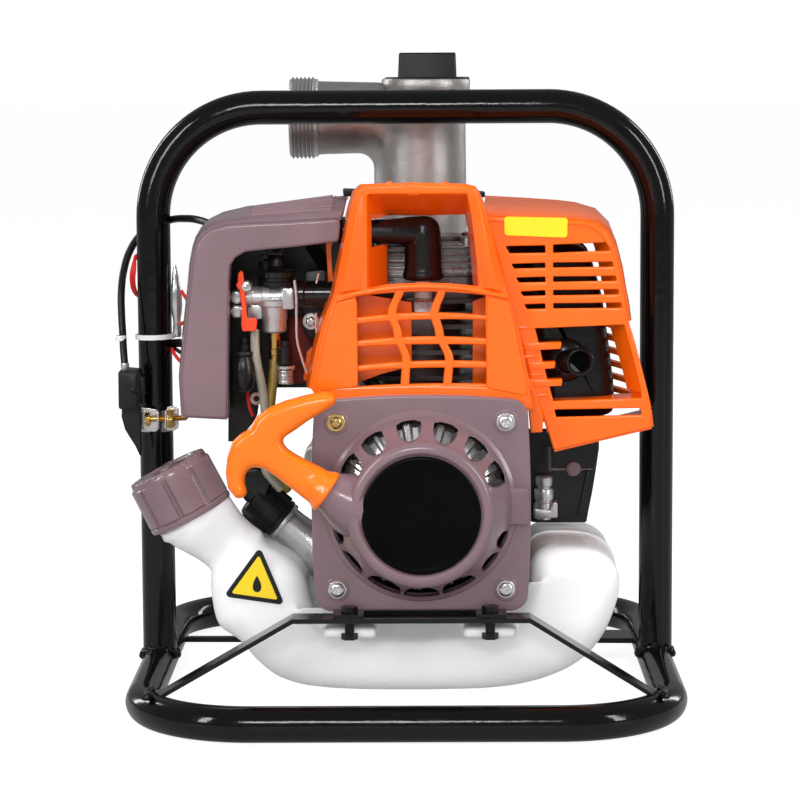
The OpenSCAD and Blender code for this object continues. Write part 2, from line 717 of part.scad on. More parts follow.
module cover_bolts() color(steel) at_cover_bolts(cover_y + 6.1) {
  y_cyl([0, 0, 0], 5.6, 4.2, $fn = 6);
  y_cyl([0, -22, 0], 3, 22);
}
module impeller() color(cast_grey) difference() {
  union() {
    crank_steps([[impeller_d / 2, 43, 46], [11, 38.5, 58]]);
    // six curved and six square pockets cut the vane ring
    difference() {
      crank_cyl(impeller_d / 2, 46, 60);
      crank_cyl(11, 40, 70);
      for (i = [0:5]) {
        on_crank(45, i * 60) rotate([-90, 0, 0]) linear_extrude(20) difference() {
          translate([26, 0]) circle(30.2);
          translate([30.5, 6]) circle(27.5);
          translate([-60, 0]) square([70, 60]);
        }
        on_crank(44, i * 60) box([13, 0, 3], [40, 30, 17]);
      }
    }
  }
  crank_cyl(shaft_bore_r, 36, 60);
}
module shaft_seal() color(black) difference() {
  crank_cyl(12.9, 24.5, 37);
  crank_cyl(6.1, 24, 38);
}
module check_flap() color(flap_black) {
  crank_cyl(20, 92.7, 95.7);
  box([axis_x - 6, 92.7, axis_z + 17], [12, 3, 4.2]);
}
module priming_plug() color(black) translate([filler_x, column_y, 0]) {
  z_steps([[16, 326, 12.6], [20, 338.4, 2], [17, 340, 3]]);
  translate([0, 0, 342]) rounded_plate(34, 15, 13.2, 4);
}
module drain_plug() color(steel) translate([axis_x, drain_y, 0]) {
  z_cyl([0, 0, 52], 5.1, 13);
  z_cyl([0, 0, 46.9], 7.5, 6, $fn = 6);
}

// ---------------- left-leg controls ----------------
throttle_cable = [[-161, -17, 199], [-161.5, -15, 226], [-156, -12, 248], [-142, -14, 260],
  [-121, -16, 261], [-114, -30, 259]];

module leg_clamp() color(steel) translate([-half_w, 0, 0]) difference() {
  union() {
    z_cyl([0, 0, 142], tube_r + 1.6, 13);
    // two ears and the bolt through them
    for (y = [-6, 2]) box([tube_r, y, 145], [10, 4, 7]);
    y_cyl([tube_r + 5, -10, 148.5], 1.9, 20);
    y_cyl([tube_r + 5, -10.5, 148.5], 3.6, 4, $fn = 6);
    box([tube_r + 6, -8, 147.6], [12, 2, 3]);
    box([-tube_r - 7, -14, 146], [7, 12, 6]);
  }
  z_cyl([0, 0, 141], tube_r + 0.05, 15);
}
module throttle_box() color(black) difference() {
  union() {
    box([-163, -20, 155.3], [12, 16, 23]);
    z_cyl([-161, -17, 177.6], 2.6, 22);
    bent_rod(throttle_cable, 1.7);
  }
  z_cyl([-half_w, 0, 100], tube_r + 0.1, 200);
  y_cyl([pivot_x, -21, pivot_z], 2, 4);
}
module throttle_lever() color(black) {
  translate([pivot_x, -20.4, pivot_z]) rotate([90, 0, 0]) {
    cylinder(r = 5.5, h = 2.4);
    rotate([0, 0, -80]) box([0, -3.2, 0], [35, 6.4, 2.4]);
  }
  y_cyl([pivot_x, -21, pivot_z], 1.9, 4);
}

// The throttle box stands out past the left leg, so the assembly is moved to put the middle of
// its whole width on the origin.
module centred() translate([side_shift, 0, 0]) children();

centred() base_loop();
centred() hoop();
centred() front_strap();
centred() rear_strap();
centred() mount_bolts();
centred() front_foot();
centred() pump_foot();
centred() fuel_tank();
centred() fuel_cap();
centred() fan_housing();
centred() recoil_housing();
centred() recoil_badge();
centred() recoil_screws();
centred() recoil_spring();
centred() starter_pulley();
centred() pull_handle();
centred() shroud();
centred() muffler_cover();
centred() cover_label();
centred() air_cover();
centred() air_base();
centred() air_filter();
centred() carb_body();
centred() carb_top();
centred() carb_bowl();
centred() insulator();
centred() fuel_lines();
centred() primer_bulb();
centred() choke_lever();
centred() throttle_arm();
centred() cylinder_node();  // cylinder
centred() rocker_cover();
centred() crankcase_front();
centred() crankcase_rear();
centred() bearings();
centred() piston();
centred() conrod();
centred() crankshaft();
centred() flywheel();
centred() spark_plug();
centred() plug_boot();
centred() ignition_coil();
centred() oil_neck();
centred() oil_cap();
centred() side_bracket();
centred() muffler();
centred() exhaust_tube();
centred() pump_adapter();
centred() pump_casing();
centred() pump_cover();
centred() cover_gasket();
centred() cover_bolts();
centred() impeller();
centred() shaft_seal();
centred() check_flap();
centred() priming_plug();
centred() drain_plug();
centred() throttle_box();
centred() throttle_lever();
centred() leg_clamp();
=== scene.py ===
"""Engine-driven pump in a tubular carrying frame.

Z is up and the front faces -Y: the recoil starter is in front, the pump casing behind it.
Left is -X: the air cleaner and carburettor are on the left, the muffler on the right.
Pieces are modelled in millimetres, with x measured from the middle plane of the hoop;
dress() moves each one to the origin of the frame. Blender data is in metres.
"""
import json
import math
import random

import bmesh
import bpy
from mathutils import Matrix, Vector


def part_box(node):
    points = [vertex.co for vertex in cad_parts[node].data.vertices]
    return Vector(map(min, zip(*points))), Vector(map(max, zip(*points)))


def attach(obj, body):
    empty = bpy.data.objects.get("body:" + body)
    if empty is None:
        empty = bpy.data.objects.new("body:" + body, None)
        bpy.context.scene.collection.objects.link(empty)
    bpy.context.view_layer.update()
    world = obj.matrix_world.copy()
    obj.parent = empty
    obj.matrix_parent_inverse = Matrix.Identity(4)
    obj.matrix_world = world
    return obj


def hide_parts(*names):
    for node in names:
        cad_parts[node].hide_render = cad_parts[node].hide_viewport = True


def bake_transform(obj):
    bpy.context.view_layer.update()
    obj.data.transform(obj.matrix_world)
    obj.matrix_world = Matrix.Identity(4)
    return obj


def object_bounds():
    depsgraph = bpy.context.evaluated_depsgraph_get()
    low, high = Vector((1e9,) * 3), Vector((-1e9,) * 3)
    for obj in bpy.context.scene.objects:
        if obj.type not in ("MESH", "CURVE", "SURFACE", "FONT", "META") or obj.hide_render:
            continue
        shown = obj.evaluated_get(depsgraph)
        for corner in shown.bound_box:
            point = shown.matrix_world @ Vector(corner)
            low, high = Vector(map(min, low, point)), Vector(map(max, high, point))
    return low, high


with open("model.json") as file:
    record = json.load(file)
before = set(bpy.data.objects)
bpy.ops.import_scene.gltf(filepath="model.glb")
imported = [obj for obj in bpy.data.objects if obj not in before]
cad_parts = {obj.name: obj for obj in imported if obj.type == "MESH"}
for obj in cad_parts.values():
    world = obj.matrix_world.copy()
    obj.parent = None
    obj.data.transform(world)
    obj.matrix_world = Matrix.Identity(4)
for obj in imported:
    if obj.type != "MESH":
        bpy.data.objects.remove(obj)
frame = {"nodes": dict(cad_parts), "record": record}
cad_box = [list(corner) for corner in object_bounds()]
scene = bpy.context.scene
random.seed(7)

MM = 0.001
HOOP_X = round(cad_box[0][0] * 1000 + 163.6, 2)  # hoop's middle plane in the frame, mm
HOOP_LEG_X = 141.5
SHAFT_X, SHAFT_Z = 8.5, 117.0
SHAFT = (SHAFT_X, 0, SHAFT_Z)
FRONT, BACK, LEFT, RIGHT, UP = (0, -1, 0), (0, 1, 0), (-1, 0, 0), (1, 0, 0), (0, 0, 1)


# ------------------------------------------------------------------ shader helpers
MATERIALS = {}


def new_material(name):
    material = bpy.data.materials.new(name)
    material.use_nodes = True
    tree = material.node_tree
    tree.nodes.clear()
    output = tree.nodes.new("ShaderNodeOutputMaterial")
    shader = tree.nodes.new("ShaderNodeBsdfPrincipled")
    tree.links.new(shader.outputs[0], output.inputs[0])
    coords = tree.nodes.new("ShaderNodeTexCoord")
    return material, tree, shader, coords


def noise_texture(tree, coords, scale, detail, roughness=0.5, stretch=None):
    node = tree.nodes.new("ShaderNodeTexNoise")
    node.inputs["Scale"].default_value = scale
    node.inputs["Detail"].default_value = detail
    node.inputs["Roughness"].default_value = roughness
    source = coords.outputs["Object"]
    if stretch:
        mapping = tree.nodes.new("ShaderNodeMapping")
        mapping.inputs["Scale"].default_value = stretch
        tree.links.new(source, mapping.inputs[0])
        source = mapping.outputs[0]
    tree.links.new(source, node.inputs["Vector"])
    return node.outputs["Fac"]


def map_range(tree, source, from_range, to_range=(0.0, 1.0)):
    node = tree.nodes.new("ShaderNodeMapRange")
    for side, values in (("From", from_range), ("To", to_range)):
        node.inputs[side + " Min"].default_value = values[0]
        node.inputs[side + " Max"].default_value = values[1]
    tree.links.new(source, node.inputs["Value"])
    return node.outputs[0]


def mix_color(tree, factor, first, second):
    """Blends first, a colour or a socket, into the colour second."""
    node = tree.nodes.new("ShaderNodeMix")
    node.data_type = "RGBA"
    tree.links.new(factor, node.inputs[0])
    if isinstance(first, bpy.types.NodeSocket):
        tree.links.new(first, node.inputs[6])
    else:
        node.inputs[6].default_value = (*first, 1)
    node.inputs[7].default_value = (*second, 1)
    return node.outputs[2]


def edge_wear(tree, coords, base, worn, radius=0.0006):
    """Shows the colour worn in patches along the edges."""
    rounding = tree.nodes.new("ShaderNodeBevel")
    rounding.samples = 4
    rounding.inputs["Radius"].default_value = radius
    geometry = tree.nodes.new("ShaderNodeNewGeometry")
    dot = tree.nodes.new("ShaderNodeVectorMath")
    dot.operation = "DOT_PRODUCT"
    tree.links.new(rounding.outputs[0], dot.inputs[0])
    tree.links.new(geometry.outputs["Normal"], dot.inputs[1])
    edges = map_range(tree, dot.outputs["Value"], from_range=(0.99, 0.86))
    patches = noise_texture(tree, coords, scale=220, detail=5, roughness=0.7)
    patches = map_range(tree, patches, from_range=(0.45, 0.62))
    product = tree.nodes.new("ShaderNodeMath")
    product.operation = "MULTIPLY"
    tree.links.new(edges, product.inputs[0])
    tree.links.new(patches, product.inputs[1])
    return mix_color(tree, product.outputs[0], base, worn)


def bump(tree, height, strength, distance, below=None):
    node = tree.nodes.new("ShaderNodeBump")
    node.inputs["Strength"].default_value = strength
    node.inputs["Distance"].default_value = distance
    tree.links.new(height, node.inputs["Height"])
    if below:
        tree.links.new(below, node.inputs["Normal"])
    return node.outputs[0]


def add_material(name, color, rough, metal=0.0, color_var=0.12, scale=30, rough_var=0.08,
                 grain=0.0, grain_scale=900, waves=0.0, wave_scale=60, coat=0.0, specular=0.5,
                 grime=0.0, wear=None, stretch=None, subsurface=0.0, transmission=0.0):
    """color_var and rough_var are the variation about color and rough, scale the size of the
    pattern (higher is finer); grain is fine bump, waves slow bump, wear the colour at edges."""
    material, tree, shader, coords = new_material(name)
    MATERIALS[name] = material
    inputs = shader.inputs

    mottle = noise_texture(tree, coords, scale, detail=4, roughness=0.55, stretch=stretch)
    mottle = map_range(tree, mottle, from_range=(0.3, 0.7))
    dark = tuple(c * (1 - color_var) for c in color)
    light = tuple(min(1.0, c * (1 + color_var)) for c in color)
    shade = mix_color(tree, mottle, dark, light)
    if grime:
        dirt = noise_texture(tree, coords, scale * 3.1, detail=6, roughness=0.65)
        dirt = map_range(tree, dirt, from_range=(0.52, 0.75), to_range=(0.0, grime))
        shade = mix_color(tree, dirt, shade, [c * 0.45 for c in color])
    if wear:
        shade = edge_wear(tree, coords, shade, wear)
    tree.links.new(shade, inputs["Base Color"])

    gloss = noise_texture(tree, coords, scale * 2.3, detail=5, roughness=0.6, stretch=stretch)
    gloss = map_range(tree, gloss, from_range=(0.25, 0.75),
                      to_range=(max(0.02, rough - rough_var), min(1.0, rough + rough_var)))
    tree.links.new(gloss, inputs["Roughness"])
    inputs["Metallic"].default_value = metal
    inputs["IOR"].default_value = 1.46
    inputs["Specular IOR Level"].default_value = specular
    inputs["Coat Weight"].default_value = coat
    inputs["Coat Roughness"].default_value = 0.08
    if subsurface:
        inputs["Subsurface Weight"].default_value = subsurface
        inputs["Subsurface Radius"].default_value = (0.02, 0.02, 0.02)
        inputs["Subsurface Scale"].default_value = 0.6
    if transmission:
        inputs["Transmission Weight"].default_value = transmission

    normal = None
    if grain:
        height = noise_texture(tree, coords, grain_scale, detail=4, roughness=0.6,
                               stretch=stretch)
        normal = bump(tree, height, strength=grain, distance=0.0002)
    if waves:
        height = noise_texture(tree, coords, wave_scale, detail=3)
        normal = bump(tree, height, strength=waves, distance=0.002, below=normal)
    if normal:
        tree.links.new(normal, inputs["Normal"])


# ------------------------------------------------------------------ materials
add_material("gloss_black_paint", color=(0.0022, 0.0022, 0.0026), rough=0.13, color_var=0.25,
             scale=18, rough_var=0.07, grain=0.15, grain_scale=420, specular=0.4, waves=0.1,
             wave_scale=90, wear=(0.05, 0.048, 0.046))
add_material("black_oxide", color=(0.012, 0.012, 0.013), rough=0.38, metal=0.6, color_var=0.3,
             grain=0.3)
add_material("orange_moulding", color=(1.0, 0.14, 0.002), rough=0.23, color_var=0.05, scale=22,
             rough_var=0.05, grain=0.12, grain_scale=1300, coat=0.25, waves=0.06, wave_scale=70)
add_material("handle_moulding", color=(0.97, 0.182, 0.001), rough=0.27, color_var=0.05,
             scale=25, rough_var=0.06, grain=0.12, grain_scale=1200, coat=0.3)
add_material("taupe_moulding", color=(0.205, 0.132, 0.148), rough=0.21, color_var=0.08,
             scale=26, rough_var=0.06, grain=0.22, grain_scale=1500, coat=0.2, waves=0.05)
add_material("black_moulding", color=(0.0045, 0.0045, 0.005), rough=0.36, color_var=0.25,
             rough_var=0.1, grain=0.3, grain_scale=1200)
add_material("black_gloss_moulding", color=(0.004, 0.004, 0.0045), rough=0.17, color_var=0.2,
             rough_var=0.06, grain=0.1, coat=0.3)
add_material("black_rubber", color=(0.005, 0.005, 0.0055), rough=0.28, color_var=0.2,
             rough_var=0.1, grain=0.35, grain_scale=800)
add_material("badge_face", color=(0.0012, 0.0012, 0.0014), rough=0.3, color_var=0.2,
             rough_var=0.05, grain=0.1, grain_scale=2000, specular=0.08)
add_material("zinc_steel", color=(0.74, 0.73, 0.72), rough=0.25, metal=0.86, color_var=0.14,
             scale=60, rough_var=0.1, grain=0.25, grime=0.25)
add_material("yellow_zinc", color=(0.72, 0.52, 0.2), rough=0.27, metal=1.0, color_var=0.2,
             scale=60, rough_var=0.1, grain=0.25)
add_material("brass", color=(0.68, 0.42, 0.12), rough=0.28, metal=1.0, color_var=0.18,
             scale=60, rough_var=0.1, grain=0.2)
add_material("machined_steel", color=(0.55, 0.55, 0.56), rough=0.3, metal=1.0, color_var=0.1,
             scale=50, grain=0.25, stretch=(1, 12, 1))
add_material("cast_aluminium", color=(0.44, 0.415, 0.405), rough=0.38, metal=0.88, scale=70,
             rough_var=0.1, grain=0.75, grain_scale=1100, grime=0.3, waves=0.1, wave_scale=120)
add_material("fine_cast_aluminium", color=(0.66, 0.66, 0.66), rough=0.33, metal=0.85, scale=60,
             rough_var=0.1, grain=0.5, grime=0.2)
add_material("translucent_tank", color=(0.96, 0.965, 0.99), rough=0.28, color_var=0.012,
             scale=12, rough_var=0.05, grain=0.1, grain_scale=500, subsurface=0.35, waves=0.1,
             wave_scale=45)
add_material("filter_foam", color=(0.02, 0.02, 0.02), rough=0.9, color_var=0.5, scale=400,
             grain=1.0, grain_scale=1500)
add_material("fuel_hose", color=(0.42, 0.29, 0.06), rough=0.18, color_var=0.2, scale=40,
             rough_var=0.05, transmission=0.55, coat=0.3)
add_material("choke_red", color=(0.85, 0.06, 0.012), rough=0.35, grain=0.2)
add_material("wire_red", color=(0.62, 0.02, 0.015), rough=0.35, color_var=0.1, grain=0.1)
add_material("heat_paint", color=(0.006, 0.006, 0.006), rough=0.24, metal=0.2, color_var=0.4,
             scale=40, rough_var=0.1, grain=0.35, grain_scale=500)
add_material("heat_stained_steel", color=(0.12, 0.1, 0.09), rough=0.4, metal=0.9,
             color_var=0.4, scale=50, rough_var=0.15, grain=0.4)
add_material("plain_label", color=(0.93, 0.68, 0.012), rough=0.35, color_var=0.03,
             rough_var=0.05, grain=0.05, coat=0.2)
add_material("white_ceramic", color=(0.8, 0.8, 0.78), rough=0.12, color_var=0.03, coat=0.5)
add_material("cable_sheath", color=(0.004, 0.004, 0.0045), rough=0.36, color_var=0.2, grain=0.3)
add_material("cable_tie", color=(0.82, 0.82, 0.84), rough=0.4, color_var=0.04, grain=0.2)
add_material("starter_rope", color=(0.03, 0.03, 0.032), rough=0.7, color_var=0.4, scale=300,
             grain=0.9)
# dark grey alloy for the cylinder fins, the head cap and the back of the carburettor
add_material("dark_grey_alloy", color=(0.11, 0.1, 0.098), rough=0.34, metal=0.75,
             color_var=0.25, scale=60, rough_var=0.1, grain=0.5, grain_scale=800, grime=0.3)
add_material("head_fin_alloy", color=(0.2, 0.195, 0.19), rough=0.24, metal=0.95, color_var=0.2,
             scale=60, rough_var=0.1, grain=0.4, grain_scale=800, grime=0.25)
# soot and painted shade: near black and almost without sheen, standing for the dark depth of a
# bore
add_material("soot_and_painted_shade", color=(0.001, 0.001, 0.001), rough=0.8, color_var=0.2, scale=60,
             specular=0.05)
add_material("clear_hose", color=(0.55, 0.53, 0.42), rough=0.12, color_var=0.15, scale=40,
             rough_var=0.05, transmission=0.5, coat=0.4)
add_material("clear_sleeve", color=(0.6, 0.61, 0.62), rough=0.17, metal=0.8, color_var=0.45,
             scale=26, rough_var=0.1, grain=0.2)
# painted shade: dark red that stands for the orange shroud wall in shade
add_material("red_painted_shade", color=(0.13, 0.006, 0.006), rough=0.55, color_var=0.3,
             grain=0.3)
add_material("grey_black_casting", color=(0.05, 0.045, 0.045), rough=0.45, color_var=0.2,
             grain=0.4)

# ------------------------------------------------------------------ looks of the CAD pieces
SLOT_MATERIAL = {
    "frame_black": "gloss_black_paint", "black_fastener": "black_oxide",
    "tank_white": "translucent_tank", "taupe_plastic": "taupe_moulding",
    "black_plastic": "black_moulding", "badge_black": "badge_face",
    "bright_steel": "zinc_steel", "handle_orange": "handle_moulding",
    "orange_plastic": "orange_moulding", "label_yellow": "plain_label",
    "filter_foam": "filter_foam", "cast_aluminium": "cast_aluminium",
    "fuel_hose": "fuel_hose", "black_rubber": "black_rubber", "choke_red": "choke_red",
    "muffler_black": "heat_paint"}
# pieces whose material differs from that of their slot
PIECE_MATERIAL = {
    "crankshaft": "machined_steel", "bearings": "machined_steel", "piston": "machined_steel",
    "recoil_spring": "machined_steel", "spark_plug": "white_ceramic",
    "exhaust_tube": "heat_stained_steel", "carb_body": "fine_cast_aluminium",
    "carb_bowl": "fine_cast_aluminium", "oil_neck": "fine_cast_aluminium",
    "flywheel": "fine_cast_aluminium", "conrod": "fine_cast_aluminium",
    "rocker_cover": "fine_cast_aluminium", "throttle_arm": "black_oxide",
    "plug_boot": "black_rubber", "carb_top": "black_moulding",
    "cylinder": "dark_grey_alloy", "throttle_box": "black_moulding"}
UNBEVELLED = ("fuel_tank", "fuel_lines")
EDGE_WIDTH = 0.35
PIECE_EDGE_WIDTH = {
    "recoil_housing": 0.9, "shroud": 0.8, "muffler_cover": 0.8, "air_cover": 1.2,
    "fuel_cap": 0.5, "pump_casing": 1.2, "pump_cover": 1.2, "priming_plug": 0.9,
    "front_strap": 0.3, "rear_strap": 0.3, "rocker_cover": 1.5, "crankcase_front": 1.5,
    "crankcase_rear": 1.5, "fan_housing": 1.0, "cylinder": 0.5, "muffler": 1.5,
    "carb_body": 0.6, "throttle_box": 0.8, "oil_cap": 0.4}


def dress_cad_pieces():
    slots = {part["node"]: part["material_slot"] for part in frame["record"]["subparts"]}
    for name, piece in frame["nodes"].items():
        material = PIECE_MATERIAL.get(name) or SLOT_MATERIAL[slots[name]]
        piece.data.materials.clear()
        piece.data.materials.append(MATERIALS[material])
        if name not in UNBEVELLED:
            edge = piece.modifiers.new("edge", "BEVEL")
            edge.width = PIECE_EDGE_WIDTH.get(name, EDGE_WIDTH) * MM
            edge.segments = 2
            edge.limit_method = "ANGLE"
            edge.angle_limit = math.radians(35)


dress_cad_pieces()


# ------------------------------------------------------------------ stage, in metres
def make_floor(half_size=40.0, z=-0.0005):
    corners = [(x * half_size, y * half_size, z) for x, y in ((-1, -1), (1, -1), (1, 1), (-1, 1))]
    mesh = bpy.data.meshes.new("floor")
    mesh.from_pydata(corners, [], [(0, 1, 2, 3)])
    floor = link(bpy.data.objects.new("floor", mesh))
    material, tree, shader, coords = new_material("floor_pale")
    mottle = noise_texture(tree, coords, scale=3, detail=3)
    shade = mix_color(tree, mottle, (0.3, 0.3, 0.3), (0.31, 0.31, 0.31))
    tree.links.new(shade, shader.inputs["Base Color"])
    shader.inputs["Roughness"].default_value = 0.6
    shader.inputs["Specular IOR Level"].default_value = 0.15
    # the floor glows, and far more for the camera than for the pieces standing on it
    glow = tree.nodes.new("ShaderNodeEmission")
    glow.inputs["Color"].default_value = (1, 1, 1, 1)
    rays = tree.nodes.new("ShaderNodeLightPath")
    strength = map_range(tree, rays.outputs["Is Camera Ray"], from_range=(0.0, 1.0),
                         to_range=(0.2, 0.9))
    tree.links.new(strength, glow.inputs["Strength"])
    total = tree.nodes.new("ShaderNodeAddShader")
    tree.links.new(shader.outputs[0], total.inputs[0])
    tree.links.new(glow.outputs[0], total.inputs[1])
    tree.links.new(total.outputs[0], tree.nodes["Material Output"].inputs[0])
    mesh.materials.append(material)


def make_world():
    """White to the camera, dim and slightly blue as a light."""
    world = bpy.data.worlds.new("studio")
    scene.world = world
    world.use_nodes = True
    tree = world.node_tree
    tree.nodes.clear()
    output = tree.nodes.new("ShaderNodeOutputWorld")
    rays = tree.nodes.new("ShaderNodeLightPath")
    backdrop = tree.nodes.new("ShaderNodeBackground")
    backdrop.inputs["Color"].default_value = (1, 1, 1, 1)
    backdrop.inputs["Strength"].default_value = 1.0
    ambient = tree.nodes.new("ShaderNodeBackground")
    ambient.inputs["Color"].default_value = (0.97, 0.98, 1, 1)
    ambient.inputs["Strength"].default_value = 0.24
    mix = tree.nodes.new("ShaderNodeMixShader")
    tree.links.new(rays.outputs["Is Camera Ray"], mix.inputs[0])
    tree.links.new(ambient.outputs[0], mix.inputs[1])
    tree.links.new(backdrop.outputs[0], mix.inputs[2])
    tree.links.new(mix.outputs[0], output.inputs[0])


def area_light(name, location, aim, size, watts, glossy=True):
    """glossy=False keeps the light out of reflections."""
    light = bpy.data.lights.new(name, "AREA")
    light.shape = "RECTANGLE"
    light.size, light.size_y = size
    light.energy = watts
    lamp = bpy.data.objects.new(name, light)
    lamp.location = location
    direction = Vector(aim) - Vector(location)
    lamp.rotation_euler = direction.to_track_quat("-Z", "Y").to_euler()
    link(lamp)
    if not glossy:
        lamp.visible_glossy = False


def make_lights():
    area_light("key_left", location=(-1.5, -1.5, 1.1), aim=(0, 0, 0.15), size=(0.28, 1.2),
               watts=17)
    area_light("key_right", location=(1.7, -1.3, 0.95), aim=(0, 0, 0.15), size=(0.28, 1.3),
               watts=15)
    area_light("top_soft", location=(0.1, -0.45, 1.7), aim=(0, 0, 0.1), size=(1.6, 0.5),
               watts=17, glossy=False)
    area_light("low_fill", location=(-0.25, -2.3, 0.35), aim=(0, 0, 0.12), size=(1.6, 0.5),
               watts=12, glossy=False)
    area_light("front_fill", location=(-0.2, -2.6, 1.25), aim=(0, 0, 0.15), size=(0.7, 0.35),
               watts=16)
    area_light("rim_left", location=(-1.5, 1.2, 0.9), aim=(0, 0, 0.2), size=(0.22, 1.2),
               watts=8)
    area_light("rim_right", location=(1.5, 1.3, 0.9), aim=(0, 0, 0.2), size=(0.22, 1.2),
               watts=8)


def make_camera(place_mm=(11.15 + HOOP_X, -1600, 352.9), pitch=0.1206, yaw=-0.0091,
                roll=-0.0055, lens=128.1825):
    """Looks along +Y; angles in radians, pitch positive downwards."""
    forward = Vector((math.sin(yaw) * math.cos(pitch), math.cos(yaw) * math.cos(pitch),
                      -math.sin(pitch)))
    right = Vector((math.cos(yaw), -math.sin(yaw), 0))
    up = right.cross(forward)
    rolled_right = math.cos(roll) * right + math.sin(roll) * up
    rolled_up = -math.sin(roll) * right + math.cos(roll) * up
    matrix = Matrix((rolled_right, rolled_up, -forward)).transposed().to_4x4()
    matrix.translation = Vector(place_mm) * MM
    camera = bpy.data.cameras.new("cam")
    camera.sensor_width = 36
    camera.lens = lens
    camera.clip_start = 0.05
    camera.clip_end = 20
    holder = bpy.data.objects.new("cam", camera)
    holder.matrix_world = matrix
    scene.camera = link(holder)


def link(obj):
    scene.collection.objects.link(obj)
    return obj


make_floor()
make_world()
make_lights()
make_camera()
scene.view_settings.view_transform = "Standard"
scene.view_settings.look = "None"


# ------------------------------------------------------------------ finishing
def dress(obj, material):
    """Moves the piece from the hoop's middle plane to the frame's origin and paints it."""
    obj.data.transform(Matrix.Translation((HOOP_X * MM, 0, 0)) @ obj.matrix_world)
    obj.matrix_world = Matrix.Identity(4)
    obj.data.materials.clear()
    obj.data.materials.append(MATERIALS[material])
    for polygon in obj.data.polygons:
        polygon.use_smooth = True


def finish(obj, material, body="frame", smooth=30, replaces=None):
    """smooth is the angle above which edges stay sharp; 0 smooths them all."""
    dress(obj, material)
    if smooth:
        obj.data.set_sharp_from_angle(angle=math.radians(smooth))
    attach(obj, body)
    if replaces:
        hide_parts(replaces)


# ------------------------------------------------------------------ modelling helpers, in mm
def mesh_object(name, vertices, faces):
    mesh = bpy.data.meshes.new(name)
    mesh.from_pydata([(v[0] * MM, v[1] * MM, v[2] * MM) for v in vertices], [], faces)
    mesh.validate()
    edit = bmesh.new()
    edit.from_mesh(mesh)
    bmesh.ops.remove_doubles(edit, verts=edit.verts, dist=1e-7)
    bmesh.ops.recalc_face_normals(edit, faces=edit.faces)
    edit.to_mesh(mesh)
    edit.free()
    return link(bpy.data.objects.new(name, mesh))


def recalc_normals(obj):
    edit = bmesh.new()
    edit.from_mesh(obj.data)
    bmesh.ops.recalc_face_normals(edit, faces=edit.faces)
    edit.to_mesh(obj.data)
    edit.free()


def apply(obj):
    """Makes the evaluated mesh the object's own; a curve is replaced by a mesh object."""
    depsgraph = bpy.context.evaluated_depsgraph_get()
    mesh = bpy.data.meshes.new_from_object(obj.evaluated_get(depsgraph), depsgraph=depsgraph)
    mesh.transform(obj.matrix_world.copy())
    if obj.type != "MESH":
        name = obj.name
        solid = bpy.data.objects.new(name + "_m", mesh)
        bpy.data.objects.remove(obj)
        solid.name = name
        return link(solid)
    obj.modifiers.clear()
    obj.data = mesh
    obj.matrix_world = Matrix.Identity(4)
    return obj


def bevel(obj, width, steps=2, angle=35):
    modifier = obj.modifiers.new("bv", "BEVEL")
    modifier.width = width * MM
    modifier.segments = steps
    modifier.limit_method = "ANGLE"
    modifier.angle_limit = math.radians(angle)
    return apply(obj)


def cut(obj, cutters):
    for cutter in cutters:
        modifier = obj.modifiers.new("b", "BOOLEAN")
        modifier.object = cutter
        modifier.operation = "DIFFERENCE"
        modifier.solver = "EXACT"
    apply(obj)
    for cutter in cutters:
        bpy.data.objects.remove(cutter)
    return obj


def join(name, objects):
    depsgraph = bpy.context.evaluated_depsgraph_get()
    edit = bmesh.new()
    for obj in objects:
        part = bpy.data.meshes.new_from_object(obj.evaluated_get(depsgraph),
                                               depsgraph=depsgraph)
        part.transform(obj.matrix_world)
        edit.from_mesh(part)
    for obj in objects:
        bpy.data.objects.remove(obj)
    mesh = bpy.data.meshes.new(name)
    edit.to_mesh(mesh)
    edit.free()
    return link(bpy.data.objects.new(name, mesh))


def remeshed(obj, voxel, smoothings):
    """Melts overlapping parts into one soft skin."""
    remesh = obj.modifiers.new("r", "REMESH")
    remesh.mode = "VOXEL"
    remesh.voxel_size = voxel * MM
    smooth = obj.modifiers.new("s", "SMOOTH")
    smooth.factor = 0.5
    smooth.iterations = smoothings
    return apply(obj)


def basis(axis):
    z = Vector(axis).normalized()
    x = Vector((0, 0, 1)).cross(z)
    if x.length < 1e-4:
        x = Vector((1, 0, 0))
    x.normalize()
    return x, z.cross(x), z


def place(obj, origin, axis, spin=0.0):
    """Moves a part built about the origin with +Z as its axis."""
    matrix = Matrix(basis(axis)).transposed().to_4x4() @ Matrix.Rotation(spin, 4, "Z")
    matrix.translation = Vector(origin) * MM
    obj.data.transform(matrix)
    return obj


def rod(name, points, radius, facets=4, kind="POLY", steps=10, closed=False, radii=None):
    """Round bar along (x, y, z) points."""
    curve = bpy.data.curves.new(name, "CURVE")
    curve.dimensions = "3D"
    curve.bevel_depth = radius * MM
    curve.bevel_resolution = facets
    curve.resolution_u = steps
    curve.use_fill_caps = True
    spline = curve.splines.new(kind)
    knots = spline.bezier_points if kind == "BEZIER" else spline.points
    knots.add(len(points) - 1)
    for i, point in enumerate(points):
        place_m = Vector(point) * MM
        if kind == "BEZIER":
            knots[i].co = place_m
            knots[i].handle_left_type = knots[i].handle_right_type = "AUTO"
        else:
            knots[i].co = (*place_m, 1)
        if radii:
            knots[i].radius = radii[i]
    if kind == "NURBS":
        spline.order_u = 3
        spline.use_endpoint_u = not closed
    spline.use_cyclic_u = closed
    return apply(link(bpy.data.objects.new(name, curve)))


def tube(name, points, radius, material, kind="BEZIER", replaces=None, **shape):
    """A finished rod."""
    obj = rod(name, points, radius, kind=kind, **shape)
    finish(obj, material, smooth=35, replaces=replaces)


